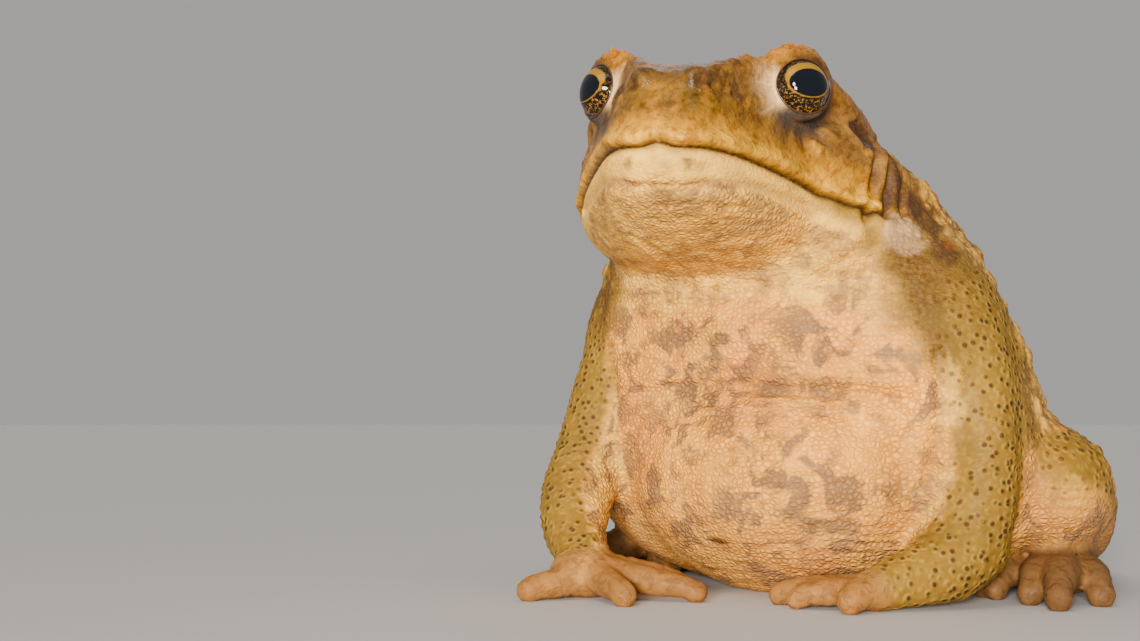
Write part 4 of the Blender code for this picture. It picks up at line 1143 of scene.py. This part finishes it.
def skin_material(tones):
    """Toad skin: ground colours by region, granules, marbling, spots and wart tips, with painted shade in seams,
    creases and throat valleys and a painted shadow along the mouth.
    """
    material, tree, surface = new_material("toad_skin")
    place = object_place(tree)
    bent = place.bent(70.0, (0.0016, 0.0016, 0.0020))
    level = bent.stretched((1.0, 1.0, 1.18))
    names = ("belly", "spots", "tops", "own", "rough", "mouth", "face", "digits", "streaks", "folded_skin")
    belly, spots, tops, own, rough, mouth, face, digits, streaks, throat = (attribute(tree, n) for n in names)
    skin = attribute(tree, "ground", "Color")

    # Belly: soft blotches and flecks
    marbling = place.noise(BLOTCHES, 3.0, 0.55, 0.8).step(0.46, 0.60) * place.noise(45.0, 1.0).step(0.26, 0.50)
    skin = (belly * marbling * 0.85).between(skin, tones.marbling)
    flecks = level.noise(620.0, 2.0).step(0.62, 0.72)
    skin = (belly * flecks * 0.40).between(skin, tones.marbling)

    # Arms, knees and shoulders: tubercles, each with a dark dot, and painted shade between them
    tubercle = bent.cells(TUBERCLES, randomness=0.85)
    dots = 1.0 - tubercle.step(0.14, 0.36)
    tubercle_seam_shade = skin.tinted((0.62, 0.55, 0.40))
    skin = (spots * tubercle.step(0.42, 0.66) * 0.55).between(skin, tubercle_seam_shade)
    skin = (dots * spots * place.noise(160.0, 2.0).step(0.22, 0.46) * 0.95).between(skin, tones.umber)
    skin = ((1.0 - tubercle.step(0.10, 0.42)) * streaks * 0.55).between(skin, tones.orange)

    # Back and flanks: dark between the warts, pale slopes and orange tips
    gaps = rough * (1.0 - tops.step(0.02, 0.34))
    skin = (gaps * 0.50).between(skin, tones.umber)
    slopes = tops.step(0.22, 0.60) * (1.0 - tops.step(0.60, 0.85)) * rough
    skin = (slopes * 0.28).between(skin, tones.pale)
    tips = tops.step(0.62, 0.92) * own.step(0.38, 0.62)
    skin = (tips * 0.85).between(skin, tones.orange)

    # Painted shade: the skin darkened in the grooves between the granules
    edge = level.cells(GRANULES, "DISTANCE_TO_EDGE")
    uneven = place.noise(130.0, 2.0).step(0.30, 0.62) * 0.65 + 0.35
    seam_shade = (1.0 - edge.step(0.0, 0.22)) * (belly * 0.70 + rough * 0.55) * uneven
    skin = seam_shade.between(skin, skin.tinted((0.46, 0.34, 0.26)))

    # Face and digits: dark mottles, and painted shade in the creases of the digits
    mottle_and_crease_shade = skin.tinted((0.55, 0.47, 0.35))
    specks = place.noise(900.0, 3.0, 0.6).step(0.52, 0.64)
    mottles = 1.0 - place.noise(330.0, 4.0, 0.65).step(0.36, 0.50)
    skin = (specks * face * 0.65).between(skin, mottle_and_crease_shade)
    skin = (mottles * face * 0.90).between(skin, mottle_and_crease_shade)
    skin = (bent.noise(260.0, 3.0, 0.6).step(0.52, 0.70) * face * 0.40).between(skin, tones.ochre)
    creases = place.noise(380.0, 4.0, 0.65, 0.6).step(0.50, 0.64)
    skin = (creases * digits * 0.50).between(skin, mottle_and_crease_shade)

    # Throat: level ruffles, with painted shade in their valleys
    ruffle = bent.stretched((1.0, 1.0, 2.4)).noise(520.0, 2.0, 0.6)
    valley_shade = (1.0 - ruffle.step(0.36, 0.50)) * throat * 0.42
    skin = valley_shade.between(skin, skin.tinted((0.58, 0.45, 0.36)))

    tint = level.cells(GRANULES, output=1)
    skin = skin.tinted(tint.between((0.90, 0.88, 0.85), (1.16, 1.16, 1.16)))
    light = place.noise(90.0, 2.0).step(0.35, 0.65)
    skin = skin.tinted(light.between((0.86, 0.85, 0.84), (1.10, 1.09, 1.06)))
    # Painted shadow: near-black along the mouth, the shade under the overhanging upper lip
    skin = mouth.between(skin, (0.03, 0.012, 0.006))
    tree.links.new(skin.socket, surface.inputs["Base Color"])

    gloss = place.noise(600.0) * 0.20 + 0.54 - face * 0.34
    tree.links.new(gloss.socket, surface.inputs["Roughness"])
    granular = edge.step(0.0, 0.36) * (1.0 - face.larger(digits * 0.8)) * (1.0 - spots) * (belly * 0.7 + 0.3)
    spiny = (1.0 - tubercle.step(0.10, 0.62)) + dots * 0.5
    height = granular + spiny * spots * 1.3 + place.noise(1100.0, 1.0) * 0.30 + ruffle * throat * 1.5
    height = height + place.noise(520.0, 3.0, 0.55) * face * 2.6 - creases * digits * 0.5
    bump = node(tree, "ShaderNodeBump", {"Strength": 0.9, "Distance": 0.00028, "Height": height})
    tree.links.new(bump.outputs[0], surface.inputs["Normal"])
    set_values(surface, {
        "Subsurface Weight": 0.08, "Subsurface Radius": (1.0, 0.45, 0.25), "Subsurface Scale": 0.0012,
        "Specular IOR Level": 0.15, "Coat Weight": 0.03, "Coat Roughness": 0.25,
    })
    return material


# The eye, in shares of its radius and linear colours
PUPIL = (0.60, 0.41)
IRIS_EDGE = (0.80, 0.87)
IRIS_BLACK = (0.006, 0.004, 0.003)
FLECK_GOLD = (0.30, 0.14, 0.012)
RING_GOLD = (0.26, 0.13, 0.004)
EYE_RIM = (0.010, 0.007, 0.006)
PUPIL_BLACK = (0.003, 0.004, 0.007)


def eye_material(name):
    """A wet eye: blue-black oval pupil in a line of gold that thickens above it, and a black iris flecked with
    gold. The attributes across and up run from -1 to 1 over the ball as the eye looks."""
    material, tree, surface = new_material("toad_eye_" + name)
    across, up, place = attribute(tree, "across"), attribute(tree, "up"), object_place(tree)
    wide, high = across / PUPIL[0], up / PUPIL[1]
    oval = (wide * wide + high * high) ** 0.5
    round_out = (across * across + up * up) ** 0.5
    ragged = (place.noise(900.0, 2.0) - 0.5) * 0.35
    flecks = place.noise(2300.0, 2.0, 0.6).step(0.53, 0.60) * (round_out + ragged).step(0.45, 0.62)
    iris = (flecks * ((up * -1.0).step(0.0, 0.40) * 0.65 + 0.25)).between(IRIS_BLACK, FLECK_GOLD)
    beyond = oval - (up.larger(0.0) * 0.72 + ragged * 0.4)
    ring = oval.step(1.0, 1.04) * (1.0 - beyond.step(1.06, 1.13))
    iris = ring.between(iris, RING_GOLD)
    iris = round_out.step(*IRIS_EDGE).between(iris, EYE_RIM)
    eye = (1.0 - oval.step(0.96, 1.01)).between(iris, PUPIL_BLACK)
    tree.links.new(eye.socket, surface.inputs["Base Color"])
    set_values(surface, {
        "Roughness": 0.30, "Specular IOR Level": 0.0,
        "Coat Weight": 1.0, "Coat Roughness": 0.02, "Coat IOR": 1.36,
    })
    return material


def make_piece(name, form, material, node_name):
    """A finished piece from a form's points and faces, riding on the toad's one body."""
    piece = joined(name, [form])
    piece.data.materials.append(material)
    piece.data.shade_smooth()
    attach(piece, "root")
    if node_name:
        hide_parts(node_name)
    return piece


def eyeball_form(side, radius):
    """An eyeball with a cornea: a sphere whose radius grows by a smooth bulge within 50 degrees of the look."""
    centre, basis = eye_basis(side)
    angles = np.linspace(0, 2 * math.pi, 64, endpoint=False)[None, :]
    polar = np.linspace(0.012, math.pi - 0.02, 48)[:, None]
    far = radius + 0.35 * (1 - smooth(math.radians(25), math.radians(56), polar))
    local = far[..., None] * ball_rings(polar, angles)
    points, quads, ends = loft(local @ basis + centre)
    if np.linalg.det(basis) < 0:
        quads, ends = quads[:, ::-1], ends[:, ::-1]
    return points, quads[:, ::-1], ends[:, ::-1]


def rim_form(side, radius):
    """The fleshy edge of the lids: a thin round cord along the opening's edge on the eyeball."""
    centre, basis = eye_basis(side)
    turn = np.linspace(0, 2 * math.pi, 96, endpoint=False)
    angle = lid_opening(turn) - 0.02
    out = np.stack([np.sin(angle) * np.cos(turn), np.sin(angle) * np.sin(turn), np.cos(angle)], -1)
    ahead = unit(np.roll(out, -1, 0) - np.roll(out, 1, 0))
    inward = np.cross(ahead, out)
    around = np.linspace(0, 2 * math.pi, 12, endpoint=False)
    thick = 0.17 + 0.05 * np.sin(-turn).clip(0)
    ring = (radius + 0.14) * out[:, None] + thick[:, None, None] * (
        np.cos(around)[None, :, None] * out[:, None] * 0.8 + np.sin(around)[None, :, None] * inward[:, None]
    )
    points = ring.reshape(-1, 3) @ basis + centre
    rows, columns = len(turn), len(around)
    here = np.arange(rows * columns).reshape(rows, columns)
    beside, after = np.roll(here, -1, 1), np.roll(here, -1, 0)
    quads = np.stack([here, beside, np.roll(beside, -1, 0), after], -1)
    return points, quads.reshape(-1, 4), np.zeros((0, 3), int)


class TOAD_OT_skin(bpy.types.Operator):
    """Builds the skin that stands for all nodes of flesh"""

    bl_idname = "toad.skin"
    bl_label = "Skin"

    def execute(self, context):
        sizes, tones = context.scene.toad_sizes, context.scene.toad_colours
        skin = make_skin_mesh(sizes)
        paint(skin.data, tones)
        skin.data.materials.append(skin_material(tones))
        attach(skin, "root")
        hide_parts(*FLESH)
        return {"FINISHED"}


RIM_COLOUR = (0.050, 0.024, 0.012, 1)
# What across and up say on the ball's hidden half: beyond the edge of the iris
HIDDEN = 2.0


class TOAD_OT_eyes(bpy.types.Operator):
    """Builds both eyeballs and the rims of their lids"""

    bl_idname = "toad.eyes"
    bl_label = "Eyes"

    def execute(self, context):
        radius = context.scene.toad_sizes.eye_radius / MM
        rim_skin, _, surface = new_material("lid_rim")
        set_values(surface, {"Base Color": RIM_COLOUR, "Roughness": 0.3})
        for name, side in EYE_SIDES.items():
            eye = "eye_" + name
            ball = make_piece("eyeball_" + name, eyeball_form(side, radius), eye_material(name), eye)
            centre, basis = eye_basis(side)
            local = (coordinates(ball.data) - centre) @ basis.T / radius
            front = local[:, 2] > 0
            write_attribute(ball.data, "across", np.where(front, local[:, 0], HIDDEN))
            write_attribute(ball.data, "up", np.where(front, local[:, 1], HIDDEN))
            make_piece("lid_rim_" + name, rim_form(side, radius), rim_skin, None)
        return {"FINISHED"}


# The camera's place in metres and its turns; focus and picture width in pixels, and the sensor in millimetres
CAMERA_PLACE = (0.1115, -0.2681, 0.034)
CAMERA_HEADING = math.radians(31.3)
CAMERA_PITCH = math.radians(4.15)
CAMERA_FOCUS = 1400.0
IMAGE_WIDTH = 1140.0
SENSOR = 36.0
WARM = (1.0, 0.94, 0.85)
# Distant soft lights: name, heading from -Y towards +X and height in degrees, strength, spread in degrees, tint
SUNS = (
    ("key", 12.0, 10.0, 4.0, 12.0, WARM),
    ("top", -10.0, 55.0, 0.6, 30.0, (1.0, 0.97, 0.93)),
    ("back", 200.0, 40.0, 0.25, 30.0, (1.0, 1.0, 1.0)),
)
# The near light, low before the toad: watts, metres and degrees
PANEL_POWER = 0.55
PANEL_SIZE = 0.08
PANEL_SPREAD = 75
PANEL_PLACE = (0.16, -0.46, 0.06)
PANEL_TURN = (91, 0, 19)
WORLD_COLOUR = (0.80, 0.785, 0.76, 1)
WORLD_STRENGTH = 0.52
FLOOR_COLOUR = (0.56, 0.55, 0.54, 1)
FLOOR_RADII = (0.001, 0.5, 1.5, 4.0, 10.0, 20.0)
FLOOR_SIDES = 96


def make_floor():
    """A round, flat, matt floor of rings."""
    angles = np.linspace(0, 2 * math.pi, FLOOR_SIDES, endpoint=False)
    across, along = np.outer(FLOOR_RADII, np.cos(angles)), np.outer(FLOOR_RADII, np.sin(angles))
    points, quads, ends = loft(np.stack([across, along, 0 * across], -1) / MM)
    floor = joined("floor", [(points, quads, ends[:FLOOR_SIDES])])
    paper, _, surface = new_material("floor_paper")
    set_values(surface, {"Base Color": FLOOR_COLOUR, "Roughness": 1.0, "Specular IOR Level": 0.0})
    floor.data.materials.append(paper)
    return floor


def make_lamp(name, kind, strength, tint):
    """A lamp of a kind, with its strength and tint."""
    lamp = bpy.data.objects.new(name, bpy.data.lights.new(name, kind))
    lamp.data.energy = strength
    lamp.data.color = tint
    bpy.context.scene.collection.objects.link(lamp)
    return lamp


def make_lamps():
    """All distant soft lights and the near one."""
    for name, heading, height, strength, spread, tint in SUNS:
        lamp = make_lamp(name, "SUN", strength, tint)
        lamp.data.angle = math.radians(spread)
        lamp.rotation_euler = (math.radians(90 - height), 0, math.radians(heading))
    lamp = make_lamp("low", "AREA", PANEL_POWER, WARM)
    lamp.data.size = PANEL_SIZE
    lamp.data.spread = math.radians(PANEL_SPREAD)
    lamp.location = PANEL_PLACE
    lamp.rotation_euler = [math.radians(turn) for turn in PANEL_TURN]


def make_camera():
    """The camera from which the toad was pictured."""
    camera = bpy.data.objects.new("camera", bpy.data.cameras.new("camera"))
    bpy.context.scene.collection.objects.link(camera)
    camera.data.sensor_width = SENSOR
    camera.data.lens = SENSOR * CAMERA_FOCUS / IMAGE_WIDTH
    camera.data.clip_start = 0.01
    camera.location = CAMERA_PLACE
    camera.rotation_euler = (math.pi / 2 + CAMERA_PITCH, 0, CAMERA_HEADING)
    return camera


class TOAD_OT_stage(bpy.types.Operator):
    """Builds the pale floor, the soft lights and the camera"""

    bl_idname = "toad.stage"
    bl_label = "Stage"

    def execute(self, context):
        make_floor()
        world = bpy.data.worlds.new("studio")
        world.use_nodes = True
        set_values(world.node_tree.nodes["Background"], {"Color": WORLD_COLOUR, "Strength": WORLD_STRENGTH})
        context.scene.world = world
        make_lamps()
        context.scene.camera = make_camera()
        return {"FINISHED"}


class TOAD_PT_panel(bpy.types.Panel):
    """Lists the toad's builders, sizes and colours"""

    bl_label = "Cane toad"
    bl_idname = "TOAD_PT_panel"
    bl_space_type = "VIEW_3D"
    bl_region_type = "UI"
    bl_category = "Toad"

    def draw(self, context):
        layout = self.layout
        for operator in (TOAD_OT_skin, TOAD_OT_eyes, TOAD_OT_stage):
            layout.operator(operator.bl_idname)
        for group in (context.scene.toad_sizes, context.scene.toad_colours):
            for name in group.__annotations__:
                layout.prop(group, name)


CLASSES = (ToadSizes, ToadColours, TOAD_OT_skin, TOAD_OT_eyes, TOAD_OT_stage, TOAD_PT_panel)


def register():
    """Registers the classes and hangs the properties on the scene."""
    for kind in CLASSES:
        bpy.utils.register_class(kind)
    bpy.types.Scene.toad_sizes = PointerProperty(type=ToadSizes)
    bpy.types.Scene.toad_colours = PointerProperty(type=ToadColours)


def unregister():
    """Takes the properties and classes away again."""
    del bpy.types.Scene.toad_colours
    del bpy.types.Scene.toad_sizes
    for kind in reversed(CLASSES):
        bpy.utils.unregister_class(kind)


def main():
    """Builds the toad and its stage."""
    register()
    bpy.ops.toad.skin()
    bpy.ops.toad.eyes()
    bpy.ops.toad.stage()


if __name__ == "__main__":
    main()
